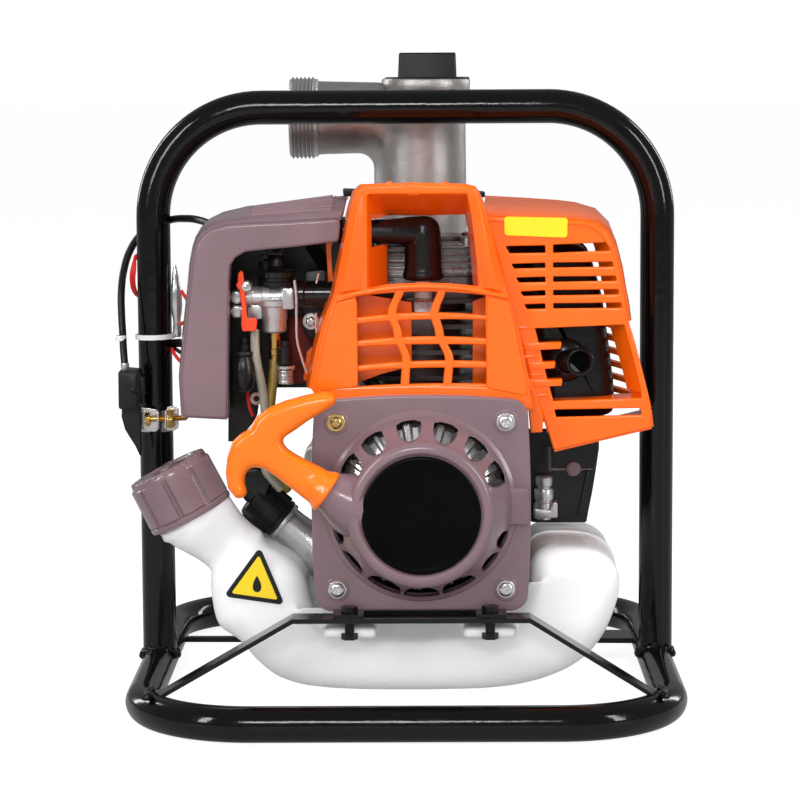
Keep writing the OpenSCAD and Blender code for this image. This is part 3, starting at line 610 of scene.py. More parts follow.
def rounded(points, radius, steps):
    """Rounds the corners of a closed list of (x, z)."""
    out = []
    for i in range(len(points)):
        corner = Vector(points[i])
        before = Vector(points[i - 1]) - corner
        after = Vector(points[(i + 1) % len(points)]) - corner
        length_before, length_after = before.length, after.length
        before.normalize()
        after.normalize()
        angle = before.angle(after)
        if angle > math.pi - 0.02:
            out.append(tuple(corner))
            continue
        reach = min(radius / math.tan(angle / 2), length_before * 0.48, length_after * 0.48)
        fitted = reach * math.tan(angle / 2)
        centre = corner + (before + after).normalized() * (fitted / math.sin(angle / 2))
        start, end = corner + before * reach, corner + after * reach
        first = math.atan2(start.y - centre.y, start.x - centre.x)
        last = math.atan2(end.y - centre.y, end.x - centre.x)
        turn = (last - first + math.pi) % (2 * math.pi) - math.pi
        for j in range(steps + 1):
            now = first + turn * j / steps
            out.append((centre.x + fitted * math.cos(now), centre.y + fitted * math.sin(now)))
    return out


def at_y(points, y, dx=0, dz=0):
    """(x, z) points as (x, y, z), shifted by dx and dz."""
    return [(x + dx, y, z + dz) for x, z in points]


def panel(name, points, front, back, edge, steps=2, corner=0, corner_steps=3, holes=()):
    """Flat plate with (x, z) outline, from y front to y back, edges rounded by edge."""
    if corner:
        points = rounded(points, corner, corner_steps)
    curve = bpy.data.curves.new(name, "CURVE")
    curve.dimensions = "2D"
    curve.fill_mode = "BOTH"
    curve.extrude = ((back - front) / 2 - edge) * MM
    curve.bevel_depth = edge * MM
    curve.bevel_resolution = steps
    curve.offset = -edge * MM
    for loop in [points, *holes]:
        spline = curve.splines.new("POLY")
        spline.points.add(len(loop) - 1)
        for i, (x, z) in enumerate(loop):
            spline.points[i].co = (x * MM, z * MM, 0, 1)
        spline.use_cyclic_u = True
    obj = link(bpy.data.objects.new(name, curve))
    obj.rotation_euler = (math.pi / 2, 0, 0)
    obj.location = (0, (front + back) / 2 * MM, 0)
    bpy.context.view_layer.update()
    return apply(obj)


def prism(name, points, front, back):
    """Sharp-edged solid with (x, z) outline, from y front to y back."""
    n = len(points)
    faces = [tuple(range(n)), tuple(range(2 * n - 1, n - 1, -1))]
    faces += [(i, (i + 1) % n, n + (i + 1) % n, n + i) for i in range(n)]
    return mesh_object(name, at_y(points, front) + at_y(points, back), faces)


def block(name, points, front, back, edge, steps=2, corner=0, corner_steps=3):
    """Prism with rounded corners and bevelled edges."""
    if corner:
        points = rounded(points, corner, corner_steps)
    return bevel(prism(name, points, front, back), edge, steps)


def loft(name, rings, closed=False, capped=True):
    """Skin over rings of equal length of (x, y, z)."""
    n = len(rings[0])
    faces = []
    for j in range(len(rings) - 1):
        for i in range(n if closed else n - 1):
            after = (i + 1) % n
            faces.append((j * n + i, j * n + after, (j + 1) * n + after, (j + 1) * n + i))
    if capped and closed:
        faces.append(tuple(range(n - 1, -1, -1)))
        faces.append(tuple((len(rings) - 1) * n + i for i in range(n)))
    return mesh_object(name, [point for ring in rings for point in ring], faces)


def lathe(name, profile, origin, axis, sides=48, capped=True, swell=None):
    """profile: (radius, height along axis). swell(angle, height, radius) scales the radius."""
    x, y, z = basis(axis)
    origin = Vector(origin)
    rings = []
    for radius, height in profile:
        ring = []
        for i in range(sides):
            angle = 2 * math.pi * i / sides
            r = radius * (swell(angle, height, radius) if swell else 1)
            ring.append(origin + x * (r * math.cos(angle)) + y * (r * math.sin(angle))
                        + z * height)
        rings.append(ring)
    return loft(name, rings, closed=True, capped=capped)


def sheet(name, rings, thickness, offset=0):
    """Open skin given a thickness."""
    obj = loft(name, rings)
    solid = obj.modifiers.new("s", "SOLIDIFY")
    solid.thickness = thickness * MM
    solid.offset = offset
    return apply(obj)


def swept_sheet(name, edge, stations, thickness):
    """Sheet from an (x, z) edge carried through stations (y, dx, dz)."""
    return sheet(name, [at_y(edge, *station) for station in stations], thickness)


def softened(points, spacing, rounds):
    """Closed (x, z) outline, resampled and smoothed, as vectors."""
    even = []
    for i in range(len(points)):
        start, end = Vector(points[i]), Vector(points[(i + 1) % len(points)])
        count = max(1, int((end - start).length / spacing))
        even += [start.lerp(end, j / count) for j in range(count)]
    n = len(even)
    for _ in range(rounds):
        even = [(even[i - 1] + even[i] * 2 + even[(i + 1) % n]) / 4 for i in range(n)]
    return even


def side_normals(points):
    """Normals to the right of the direction of travel."""
    n = len(points)
    runs = [(points[(i + 2) % n] - points[i - 2]).normalized() for i in range(n)]
    return [Vector((run.y, -run.x)) for run in runs]


def pillow(name, outline, front, back, radius, steps=7, rounds=3):
    """Body with an (x, z) outline whose front and back edges are rounded with radius."""
    points = softened(outline, 3.0, rounds)
    normals = side_normals(points)
    n = len(points)
    area = sum(points[i].x * points[(i + 1) % n].y - points[(i + 1) % n].x * points[i].y
               for i in range(n))
    if area < 0:
        normals = [-normal for normal in normals]

    def ring(y, inset):
        return [(point.x - normal.x * inset, y, point.y - normal.y * inset)
                for point, normal in zip(points, normals)]

    front_rings, back_rings = [], []
    for j in range(steps + 1):
        angle = math.pi / 2 * j / steps
        inset = radius * (1 - math.sin(angle))
        depth = radius * (1 - math.cos(angle))
        front_rings.append(ring(front + depth, inset))
        back_rings.append(ring(back - depth, inset))
    return loft(name, front_rings + back_rings[::-1], closed=True)


# ------------------------------------------------------------------ recoil starter
PLATE_SIZE, PLATE_CORNER = 112.6, 9.0
SCREW_REACH = 44.5  # screws of the cover, sideways and up from the shaft
UPPER_VENTS = (25.5, 48.5, 73, 98, 124.5, 148)  # degrees round the shaft
# vents through the dome: angle, half width, outer radius, depth towards the shaft
VENTS = [(angle, 6.6, 46.3, 8.6) for angle in UPPER_VENTS]
VENTS += [(197, 5.5, 47.3, 4.6), (218, 8.0, 47.3, 4.6), (-21, 5.2, 47.3, 4.6),
          (-38, 6.5, 47.3, 4.6)]
VENTS += [(angle, 9.6, 46.6, 7.4) for angle in (-64, -90, -116)]


def plate_outline(grow=0.0):
    """Square with bowed sides and round corners."""
    half = (PLATE_SIZE + 2 * grow) / 2
    radius = PLATE_CORNER + grow
    inner = half - radius
    points = []
    # outward direction and bow of the bottom, right, top and left sides
    for quarter, (out, bow) in enumerate((((0, -1), 0.6), ((1, 0), 1.5), ((0, 1), 2.2),
                                          ((-1, 0), 1.5))):
        out = Vector(out)
        along = Vector((-out.y, out.x))
        start, end = out * half - along * inner, out * half + along * inner
        for k in range(10):
            t = k / 9
            points.append(start.lerp(end, t) + out * bow * (1 - (2 * t - 1) ** 2))
        for k in range(1, 6):
            angle = (quarter - 1) * math.pi / 2 + math.pi / 2 * k / 6
            points.append(Vector(((out.x + along.x) * inner + radius * math.cos(angle),
                                  (out.y + along.y) * inner + radius * math.sin(angle))))
    return [(point.x + SHAFT_X, point.y + SHAFT_Z) for point in points]


def vent_cutter(angle, half, rim, depth):
    cosine, sine = math.cos(math.radians(angle)), math.sin(math.radians(angle))
    points = []  # across the vent, out from the shaft
    for k in range(13):
        t = math.pi * k / 12
        across = half * math.cos(t)
        inward = -depth * math.sin(t) ** 0.8
        points.append((across, rim + inward - 0.35 * (across / half) ** 2 * 2))
    for across in (-half * 0.5, 0, half * 0.5):
        points.append((across, rim + 0.6 * (1 - (across / half) ** 2)))
    turned = [(SHAFT_X + out * cosine - across * sine, SHAFT_Z + out * sine + across * cosine)
              for across, out in points]
    return prism("vent_cutter", turned, -156, -110)


def recoil_dome():
    # radius and distance in front of the hoop plane: outside, then back along the inside
    profile = [
        (46.0, 115.0), (50.6, 116.5), (50.9, 118.2), (50.3, 119.3), (49.2, 119.9),
        (48.2, 120.4), (47.9, 122.0), (47.2, 125.0), (45.6, 129.5), (43.6, 133.6),
        (41.4, 137.3), (39.4, 140.4), (38.2, 142.4), (37.6, 144.2), (37.5, 145.0),
        (38.1, 145.6), (38.3, 147.4), (37.7, 149.2), (36.4, 150.5), (34.6, 151.1),
        (33.0, 151.0), (31.9, 150.2), (31.5, 149.3), (31.2, 149.0), (20, 149.0), (8, 149.0),
        (8, 146.6), (20, 146.6), (34.4, 146.6), (35.3, 144), (36.6, 140.8), (38.6, 137),
        (41.0, 132.6), (43.0, 128.4), (44.4, 124.0), (45.0, 120.0), (45.4, 116.5),
        (46.0, 115.0)]
    dome = lathe("dome", profile, SHAFT, FRONT, sides=144, capped=False)
    return cut(dome, [join("vent_cutters", [vent_cutter(*vent) for vent in VENTS])])


def vent_brow(angle):
    """Raised brow over an upper vent."""
    points = []
    for k in range(-4, 5):
        t = math.radians(angle + k * 2.1)
        points.append((SHAFT_X + 47.7 * math.cos(t), -121.3, SHAFT_Z + 47.7 * math.sin(t)))
    return rod("brow", points, 0.75, facets=2)


def rope_nozzle():
    """Rope guide at the upper left, trimmed by the inside of the dome."""
    start, end = Vector((-43.0, -141, 130.2)), Vector((-24.0, -134, 119.2))
    profile = [(6.2, 0.9), (8.3, 0.0), (9.4, 0.5), (10.2, 3.0), (11.8, 7.0), (14.2, 12.0),
               (16.5, 17.0), (17, (end - start).length)]
    nozzle = lathe("nozzle", profile, start, end - start, sides=64)
    profile = [(46.5, 112), (45.4, 116.5), (45.0, 120), (44.4, 124.0), (43.0, 128.4),
               (41.0, 132.6), (38.6, 137), (36.6, 140.8), (35.3, 144), (34.4, 146.6)]
    inside = lathe("dome_inside", profile, SHAFT, FRONT, sides=96)
    hole = lathe("rope_hole", [(3.2, -4), (3.2, 40)], start, end - start, sides=32)
    return cut(nozzle, [inside, hole])


def cover_corners():
    return [(SHAFT_X + SCREW_REACH * sx, SHAFT_Z + SCREW_REACH * sz)
            for sx in (-1, 1) for sz in (-1, 1)]


def recoil_cover():
    hole = [(SHAFT_X + 46.8 * math.cos(math.radians(360 * i / 96)),
             SHAFT_Z + 46.8 * math.sin(math.radians(360 * i / 96))) for i in range(96)]
    parts = [
        panel("face", plate_outline(), -118, -114.8, edge=0.9, steps=3, holes=[hole]),
        panel("skirt", plate_outline(-0.15), -116.2, -99.6, edge=0.3, steps=1,
              holes=[plate_outline(-3.0)]),
        panel("lip", plate_outline(0.5), -101.6, -99.6, edge=0.3, steps=1,
              holes=[plate_outline(-2.6)]),
        recoil_dome(),
        rope_nozzle(),
        block("lug", [(52.6, 107.3), (65.2, 107.3), (65.2, 126.6), (52.6, 126.6)],
              -123.4, -116, edge=1.2, steps=3, corner=1.8, corner_steps=4),
        block("lug_root", [(46, 108.6), (54, 108.2), (54, 125.8), (46, 124.5)],
              -121.4, -116, edge=0.8)]
    parts += [vent_brow(angle) for angle in UPPER_VENTS]
    boss = [(6.6, 117.0), (6.6, 118.0), (6.2, 118.35), (5.9, 118.4), (0.3, 118.4)]
    parts += [lathe("boss", boss, (x, 0, z), FRONT, sides=40) for x, z in cover_corners()]
    finish(join("recoil_cover", parts), "taupe_moulding", smooth=32, replaces="recoil_housing")


def recoil_liner():
    """Toothed liner seen through the vents."""
    def teeth(angle, height, _radius):
        return 1 if math.sin(angle * 30) > 0 or height < 114 else 0.94

    profile = [(44.5, 113), (44.5, 118.5), (38.5, 121), (31.5, 124.5), (31.5, 113)]
    liner = lathe("recoil_liner", profile, SHAFT, FRONT, sides=180, swell=teeth)
    finish(liner, "zinc_steel", smooth=20, replaces="recoil_spring")


def badge():
    profile = [(30.9, 149.2), (30.9, 150.2), (30.3, 150.75), (29.2, 150.95), (28.4, 150.8),
               (28.1, 150.7), (10, 150.72), (0.2, 150.73)]
    disc = lathe("badge_disc", profile, SHAFT, FRONT, sides=128)
    finish(disc, "badge_face", smooth=35, replaces="recoil_badge")


def cross_screw(name, at, material, head_radius, washer_radius=4.9, height=2.3, spin=0.4,
                replaces=None, hexagonal=False):
    """Cross-recessed screw with a washer, facing the front."""
    washer = lathe("washer", [(1.4, -0.2), (washer_radius, -0.2), (washer_radius, 0.75),
                              (washer_radius - 0.35, 1.0), (1.4, 1.05)], (0, 0, 0), UP)
    profile = [(head_radius, 0.6), (head_radius, 1.5), (head_radius - 0.25, height * 0.75),
               (head_radius - 0.8, height), (head_radius - 1.7, height + 0.28),
               (0.2, height + 0.36)]
    head = lathe("head", profile, (0, 0, 0), UP, sides=6 if hexagonal else 48)
    if hexagonal:
        bevel(head, 0.25, angle=25)
    # tapered bar: half length, half width and z of its floor and mouth
    bar = [(x * length, y * width, z)
           for length, width, z in ((1.9, 0.5, height - 0.9), (2.1, 0.65, height + 1))
           for x, y in ((-1, -1), (1, -1), (1, 1), (-1, 1))]
    faces = [(3, 2, 1, 0), (4, 5, 6, 7), (0, 1, 5, 4), (1, 2, 6, 5), (2, 3, 7, 6), (3, 0, 4, 7)]
    cutters = []
    for k in (0, 1):
        cutter = mesh_object("recess", bar, faces)
        cutter.data.transform(Matrix.Rotation(math.pi / 2 * k, 4, "Z"))
        cutters.append(cutter)
    cut(head, cutters)
    screw = place(join(name, [washer, head]), at, FRONT, spin)
    finish(screw, material, replaces=replaces)


def recoil_screws():
    for i, (x, z) in enumerate(cover_corners()):
        upper_left = i == 1
        cross_screw("recoil_screw_%d" % i, (x, -118.3, z),
                    "yellow_zinc" if upper_left else "zinc_steel",
                    head_radius=3.3 if upper_left else 4.0, spin=0.3 + i * 0.5,
                    replaces="recoil_screws")


def pull_handle():
    y = -141
    silhouette = [  # x, z
        (-91.5, 130.5), (-92.6, 138.5), (-91.7, 146.5), (-88.9, 154.9), (-84.5, 159.0),
        (-79.7, 161.6), (-76.8, 167.2), (-70.8, 172.1), (-61.3, 176.0), (-51.8, 178.6),
        (-42.3, 180.6), (-36.8, 179.9), (-34.6, 177.4), (-35.7, 174.0), (-41.6, 170.2),
        (-49.2, 165.9), (-55.9, 161.1), (-61.9, 157.2), (-63.0, 154.8), (-61.2, 151.6),
        (-56.9, 148.4), (-49.8, 144.6), (-41.9, 140.5), (-36.4, 136.7), (-39.6, 128.7),
        (-45.2, 121.9), (-49.6, 123.1), (-54.7, 127.1), (-63.3, 134.0), (-69.2, 138.4),
        (-72.8, 140.8), (-76.7, 141.6), (-80.3, 140.7), (-82.5, 137.3), (-82.8, 132.9),
        (-81.5, 128.4), (-82.9, 125.6), (-87.2, 125.0)]
    grip = panel("grip", silhouette, y - 6.6, y + 6.6, edge=5.0, steps=5, corner=2.2)
    start, end = Vector((-62, y, 143.4)), Vector((-43.9, y, 130.9))
    profile = [(5.2, 0), (6.0, 6), (6.6, 12), (7.6, 16.0), (8.6, 19.5), (9.8, 22.0),
               (11.3, 24.6), (11.7, 26.2), (11.0, 27.2), (5, 27.4)]
    collar = lathe("collar", profile, start, end - start)
    handle = remeshed(join("pull_grip", [grip, collar]), voxel=0.75, smoothings=7)
    finish(handle, "handle_moulding", "handle", smooth=0, replaces="pull_handle")


recoil_cover()
recoil_liner()
badge()
recoil_screws()
pull_handle()

# ------------------------------------------------------------------ cylinder shroud
SHROUD_LEFT = [(-49.4, 178.0), (-45.5, 198.7), (-42.0, 211.8), (-37.4, 223.6), (-35.6, 228.6),
               (-30.7, 252.2), (-26.8, 273.3)]
SHROUD_RIGHT = [(40.6, 275.4), (43.5, 264.2), (48.6, 244.4), (54.8, 225.0), (59.8, 205.7),
                (62.9, 189.4)]
# rows of the grille: top left, top right, bottom left, bottom right, rise of top and bottom
GRILLE_ROWS = [
    ((-25.2, 226.8), (42.7, 227.1), (-25.3, 215.7), (42.6, 216.6), 2.3, 2.1),
    ((-25.1, 212.3), (42.6, 214.1), (-24.9, 203.4), (42.9, 204.5), 1.2, 1.6),
    ((-24.9, 200.2), (42.9, 200.9), (-24.7, 190.2), (43.0, 192.2), 0.8, 1.4),
    ((-24.7, 187.3), (43.0, 188.6), (-24.6, 179.1), (42.9, 180.3), 0.9, 0.8)]
# centre lines of the two wavy uprights, x and z from the bottom up
UPRIGHTS = [
    [(0.2, 179.0), (1.0, 193.4), (-3.4, 206.6), (-6.4, 217.9), (-1.7, 232.2)],
    [(22.6, 178.9), (23.7, 193.3), (18.5, 207.1), (15.9, 217.7), (20.3, 232.1)]]
UPRIGHT_HALF_WIDTH = 2.3


def eased_x(stations, z):
    """x at height z on a smooth line through (x, z) stations, constant beyond the ends."""
    if z <= stations[0][1]:
        return stations[0][0]
    for (x_low, z_low), (x_high, z_high) in zip(stations, stations[1:]):
        if z_low <= z <= z_high:
            t = (z - z_low) / (z_high - z_low)
            return x_low + (x_high - x_low) * (t * t * (3 - 2 * t))
    return stations[-1][0]


def grille_opening(column, top_left, top_right, bottom_left, bottom_right, top_rise,
                   bottom_rise):
    """Column 0 is the left one; boundaries 0 and 3 are the ends of the row."""
    width = top_right[0] - top_left[0]
    middle_rise = top_rise * (1 if column == 1 else 0.6)
    z_top = (top_left[1] + top_right[1]) / 2 + middle_rise
    z_bottom = (bottom_left[1] + bottom_right[1]) / 2 + middle_rise
    row_ends = {0: (top_left[0], bottom_left[0]), 3: (top_right[0], bottom_right[0])}

    def on_rail(left, right, rise, x):
        slope = (right[1] - left[1]) * (x - left[0]) / width
        return (x, left[1] + slope + rise * (1 - (2 * (x - top_left[0]) / width - 1) ** 2))

    def on_top(x):
        return on_rail(top_left, top_right, top_rise, x)

    def on_bottom(x):
        return on_rail(bottom_left, bottom_right, bottom_rise, x)

    def boundary(number, shift):
        points = []
        for k in range(6):
            z = z_top + (z_bottom - z_top) * k / 5
            if number in row_ends:
                start, end = row_ends[number]
                x = start + (end - start) * k / 5
            else:
                x = eased_x(UPRIGHTS[number - 1], z) + shift
            points.append((x, z))
        points[0] = on_top(points[0][0])
        points[-1] = on_bottom(points[-1][0])
        return points

    def between(start, end):
        return [start[0] + (end[0] - start[0]) * k / 4 for k in range(1, 4)]

    left = boundary(column, UPRIGHT_HALF_WIDTH)
    right = boundary(column + 1, -UPRIGHT_HALF_WIDTH)
    top = [on_top(x) for x in between(right[0], left[0])]
    bottom = [on_bottom(x) for x in between(left[-1], right[-1])]
    return left + bottom + right[::-1] + top


def shroud_face():
    crest = [(-24.3, 281.9), (-21.2, 284.8), (-8.2, 285.2), (5.4, 285.5), (20.3, 285.0),
             (32.6, 284.6), (36.6, 283.8), (38.6, 281.0)]
    foot = [(66.6, 174.3), (68.5, 166.8), (58.5, 164.3), (-0.2, 164.5), (-42.6, 164.7)]
    window = [(-18.9, 280.4), (33.2, 280.4), (37.5, 263.0), (39.0, 248.1), (39.4, 231.7),
              (27.5, 232.4), (10.1, 232.9), (-8.5, 232.2), (-19.2, 230.6)]
    holes = [rounded(window, 1.2, 3)]
    holes += [grille_opening(column, *row) for row in GRILLE_ROWS for column in range(3)]
    outer = [(-46.3, 173.6)] + SHROUD_LEFT + crest + SHROUD_RIGHT + foot
    return panel("shroud_face", outer, -107.6, -102.6, edge=1.15, steps=3, corner=1.5,
                 corner_steps=2, holes=holes)


def shroud_wall():
    """Wall running back from the rim of the face."""
    crest = [(-24.3, 281.7), (-21.1, 284.7), (-8.2, 285.0), (5.4, 285.3), (20.3, 284.9),
             (32.6, 284.5), (36.3, 283.6), (38.3, 280.7)]
    rim = SHROUD_LEFT + crest + SHROUD_RIGHT + [(66.0, 176.8)]
    rings = []
    # y, shift of the left side, shift of the right side, drop of the crest
    for y, left, right, drop in ((-106.0, 0, 0, 0), (-96.0, -1.6, 0.8, 0.6),
                                 (-60.0, -3.2, 0.8, 3.6), (-19.0, -4.0, 0.8, 8.5)):
        rings.append([(x + (left if x < 0 else right), y, z - (drop if z > 270 else 0))
                      for x, z in rim])
    return sheet("shroud_wall", rings, 2.4)


def shroud_post(ridge, outer, inner, ridge_y):
    """Raised post with a triangular section; each line is its top and bottom (x, z)."""
    base = [outer[0], outer[1], inner[1], inner[0]]
    faces = [(0, 1, 5, 4), (4, 5, 2, 3), (0, 4, 3), (1, 2, 5), (0, 3, 2, 1)]
    post = mesh_object("shroud_post", at_y(base, -106.6) + at_y(ridge, ridge_y), faces)
    return bevel(post, 0.9, 3, 12)


def shroud_trim():
    """Bar and plates that stand proud round the grille, and the foot beside the starter."""
    bar = [(-35.6, 227.3), (-25.1, 229.7), (-12.2, 231.9), (0.2, 233.1), (10.1, 233.4),
           (20.1, 233.1), (32.5, 232.0), (42.6, 230.1), (55.0, 227.8), (55.3, 225.2),
           (42.6, 227.4), (32.4, 229.6), (20.0, 230.6), (10.1, 230.9), (0.2, 230.6),
           (-12.2, 229.5), (-25.1, 227.2), (-35.6, 223.8)]
    left = [(-34.9, 224.3), (-24.7, 226.7), (-24.5, 179.0), (-45.0, 176.9), (-46.7, 181.3),
            (-42.2, 203.8)]
    right = [(43.4, 227.1), (55.0, 224.3), (59.7, 203.4), (64.1, 180.2), (65.9, 173.5),
             (43.3, 177.8)]
    low = [(-46.2, 178.2), (-25.0, 179.0), (9.9, 179.6), (42.9, 178.7), (65.9, 174.6),
           (67.2, 167.0), (-0.1, 167.3), (-47.5, 167.5)]
    foot = [(60.0, 179.9), (65.6, 167.3), (66.9, 153.0), (73.1, 153.3), (73.7, 162.2),
            (67.5, 182.4)]
    return [
        panel("shroud_bar", bar, -109.3, -106.4, edge=0.9, steps=3),
        panel("shroud_left", left, -108.8, -106.4, edge=0.9, steps=3, corner=2.5,
              corner_steps=4),
        panel("shroud_right", right, -108.8, -106.4, edge=0.9, steps=3, corner=2.5,
              corner_steps=4),
        panel("shroud_low", low, -108.4, -106.2, edge=0.7, corner=2),
        panel("shroud_foot", foot, -99.0, -90, edge=0.8)]


def crest_nib(x, z):
    points = [(x - 3.4, z - 4.5), (x + 3.4, z - 4.5), (x + 1.3, z + 2.2), (x - 1.3, z + 2.2)]
    return block("crest_nib", points, -106.6, -92, edge=0.9, steps=3)


def shroud_funnel():
    """Tapering funnel behind the window, notched on the left for the ignition lead."""
    front = [(-19.0, 280.5), (6.6, 280.6), (33.5, 280.5), (37.8, 263.0), (39.2, 248.1),
             (39.7, 231.3), (25.0, 232.4), (10.1, 232.9), (-8.5, 232.2), (-19.3, 230.5)]
    back = [(-9.7, 268.2), (11.5, 268.3), (33.3, 268.5), (35.8, 253.5), (36.8, 240.8),
            (37.5, 227.5), (25.3, 228.2), (10.1, 228.5), (-0.1, 228.3), (-9.5, 227.3)]
    funnel = sheet("funnel", [at_y(front + front[:1], -104.0), at_y(back + back[:1], -74.0)],
                   1.8)
    z = 259.6
    notch = [(-60, z - 7.2), (-4, z - 7.4), (-4, z + 7.4), (-60, z + 7.4)]
    return cut(funnel, [prism("notch", notch, -99.5, -60)])


def shroud():
    guide = [(-26.3, 227.2), (3.8, 222.0), (3.9, 189.2), (-2.1, 186.0), (-12.8, 183.2),
             (-25.4, 178.5)]
    guide_right = [(36.4, 222.1), (43.3, 224.5), (43.6, 177.6), (36.3, 177.6)]
    parts = [
        shroud_face(),
        shroud_wall(),
        shroud_post(ridge=((-22.5, 279.4), (-31.3, 229.9)),
                    outer=((-26.1, 278.2), (-36.6, 227.6)),
                    inner=((-19.0, 281.6), (-19.3, 230.3)), ridge_y=-110.6),
        shroud_post(ridge=((39.0, 278.1), (47.0, 231.0)),
                    outer=((42.7, 274.1), (54.6, 227.2)),
                    inner=((33.6, 281.4), (39.4, 230.7)), ridge_y=-110.4)]
    parts += shroud_trim()
    parts += [crest_nib(x, z) for x, z in ((-7.6, 284.8), (5.5, 284.2), (21.7, 284.6))]
    parts += [
        shroud_funnel(),
        panel("guide", guide, -86.0, -84.0, edge=0.4, steps=1),
        panel("guide_right", guide_right, -84.0, -82.0, edge=0.4, steps=1)]
    finish(join("cylinder_shroud", parts), "orange_moulding", smooth=28, replaces="shroud")


shroud()

# ------------------------------------------------------------------ muffler cover
GUARD_SHOULDER = [(42.9, 268.0), (62.6, 266.7), (81.2, 266.3), (93.7, 265.5), (101.8, 263.7),
                  (106.8, 259.5), (111.2, 251.0), (113.9, 239.7), (115.6, 229.7),
                  (117.2, 222.2), (118.5, 212.2)]
GUARD_OUTLINE = GUARD_SHOULDER + [
    (122.3, 199.6), (126.2, 185.7), (129.7, 171.8), (131.4, 159.2), (131.1, 155.4),
    (100.2, 148.1), (79.1, 143.2), (76.3, 153.1), (73.6, 161.9), (69.4, 172.1), (66.3, 184.7),
    (63.2, 197.3), (60.7, 206.1), (59.1, 212.4), (56.3, 222.5), (51.6, 238.8), (47.1, 255.0)]


def guard_face():
    slots = [
        [(53.6, 252.3), (74.4, 252.6), (74.8, 248.7), (55.7, 248.5)],
        [(78.8, 252.9), (107.7, 254.0), (108.7, 249.7), (78.8, 248.6)],
        [(56.6, 242.9), (74.5, 243.4), (74.8, 240.7), (58.3, 240.4)],
        [(78.8, 243.5), (109.9, 243.7), (110.7, 241.2), (78.8, 240.8)],
        [(59.1, 235.6), (74.5, 236.0), (74.8, 233.2), (60.8, 233.0)],
        [(78.8, 236.1), (111.7, 236.2), (112.3, 233.7), (78.8, 233.3)],
        [(61.3, 228.2), (74.5, 228.8), (74.8, 226.1), (63.1, 225.8)],
        [(78.8, 228.9), (113.0, 229.1), (113.6, 226.5), (78.8, 226.1)],
        [(63.3, 221.4), (74.5, 221.8), (74.8, 219.1), (65.1, 218.9)],
        [(78.8, 221.9), (114.5, 222.0), (115.3, 219.4), (78.8, 219.1)]]
    opening = [(116.3, 210.3), (119.1, 199.6), (122.4, 187.0), (125.2, 175.6), (125.7, 171.2),
               (100.2, 170.4), (79.0, 169.8), (77.1, 177.1), (75.8, 181.5), (74.4, 187.2),
               (73.4, 191.0), (72.1, 196.8), (71.1, 201.4), (69.2, 208.6)]
    low_slot = [(79.6, 165.2), (125.2, 165.8), (125.8, 162.2), (80.6, 161.2)]
    holes = [rounded(slot, 0.5, 2) for slot in slots] + [opening, rounded(low_slot, 0.5, 2)]
    return panel("guard_face", GUARD_OUTLINE, -97.4, -94.2, edge=0.95, steps=3, corner=1.5,
                 corner_steps=2, holes=holes)


def guard_top():
    """Top and right side running back, with a soft shoulder."""
    middle = [(42.5, 268.9), (62.8, 267.6), (81.5, 267.1), (94.3, 266.3), (103.0, 264.1),
              (108.0, 259.6), (112.3, 250.6), (115.1, 239.3), (116.8, 229.2), (118.4, 221.7),
              (119.7, 211.6)]
    back = [(44.1, 275.2), (64.5, 274.0), (83.8, 272.6), (92.9, 271.4), (103.8, 268.2),
            (110.7, 261.2), (114.9, 250.5), (117.8, 238.1), (119.5, 227.7), (121.2, 219.9),
            (122.5, 209.5)]
    return sheet("guard_top", [at_y(GUARD_SHOULDER, -96.0), at_y(middle, -90.0, dz=0.3),
                               at_y(back, -40.0), at_y(back, -22.0, dz=-5.0)], 2.2)


def guard_walls():
    seam = [(42.9, 268.0), (47.1, 255.0), (51.6, 238.8), (56.3, 222.5), (59.1, 212.4),
            (63.2, 197.3), (66.3, 184.7), (69.4, 172.1), (73.6, 161.9), (76.3, 153.1)]
    side = [(118.8, 212.1), (122.6, 199.6), (126.2, 185.7), (129.7, 171.8), (131.1, 165.5)]
    inner = [(107.6, 259.5)] + GUARD_OUTLINE[6:13] + [(129.0, 174.3)]
    # name, (x, z) edge, stations (y, dx, dz), thickness
    walls = [
        ("seam", seam, ((-96.0, 0.6, 0), (-80.0, 0.6, 0)), 2.0),
        ("tray", [(131.1, 155.6), (100.2, 148.4), (79.4, 143.5)],
         ((-96.0, 0, 0), (-30.0, 0, 0)), 2.2),
        ("shelf", [(129.7, 170.3), (100.2, 168.9), (73.2, 168.0)],
         ((-96.0, 0, 0), (-76.0, 0, 0.5)), 2.0),
        ("side_low", [(126.2, 169.3), (130.3, 164.2), (131.2, 155.6)],
         ((-96.0, 0, 0), (-30.0, 0, 0)), 2.2),
        ("side", side, ((-96.0, -1.0, 0), (-90.0, -2.2, 0), (-78.0, -7.0, 0)), 2.2),
        ("rail", [(97.5, 214.1), (110.5, 168.7)], ((-46.0, 0, 0), (-40.0, -2.0, 0)), 2.2),
        ("inner", inner, ((-94.5, -1.6, 0), (-88.0, -5.5, 0), (-79.0, -9.0, 0)), 1.6)]
    # louvre strips running back from the side wall
    louvre_stations = ((-79, -6.6, 0), (-70, -10.0, 0.6), (-58, -15.0, 1.0), (-44, -21.0, 1.2))
    strips = []
    for k in range(6):
        x = 119.0 + k * 2.55
        edge = [(x, 209.4 - k * 7.6), (x + 0.8, 206.4 - k * 7.6)]
        strips.append(("strip", edge, louvre_stations, 2.0))
    return [swept_sheet("guard_" + name, *wall)
            for name, *wall in walls[:5] + strips + walls[5:]]


def guard_fin(left, right):
    """Fin of the side opening, between two (x, z) ends."""
    points = [(left[0] - 2, left[1] - 2.0), (right[0], right[1] - 1.8),
              (right[0] + 0.5, right[1] + 1.8), (left[0] - 2, left[1] + 2.0)]
    return block("guard_fin", points, -98.3, -88, edge=0.6)


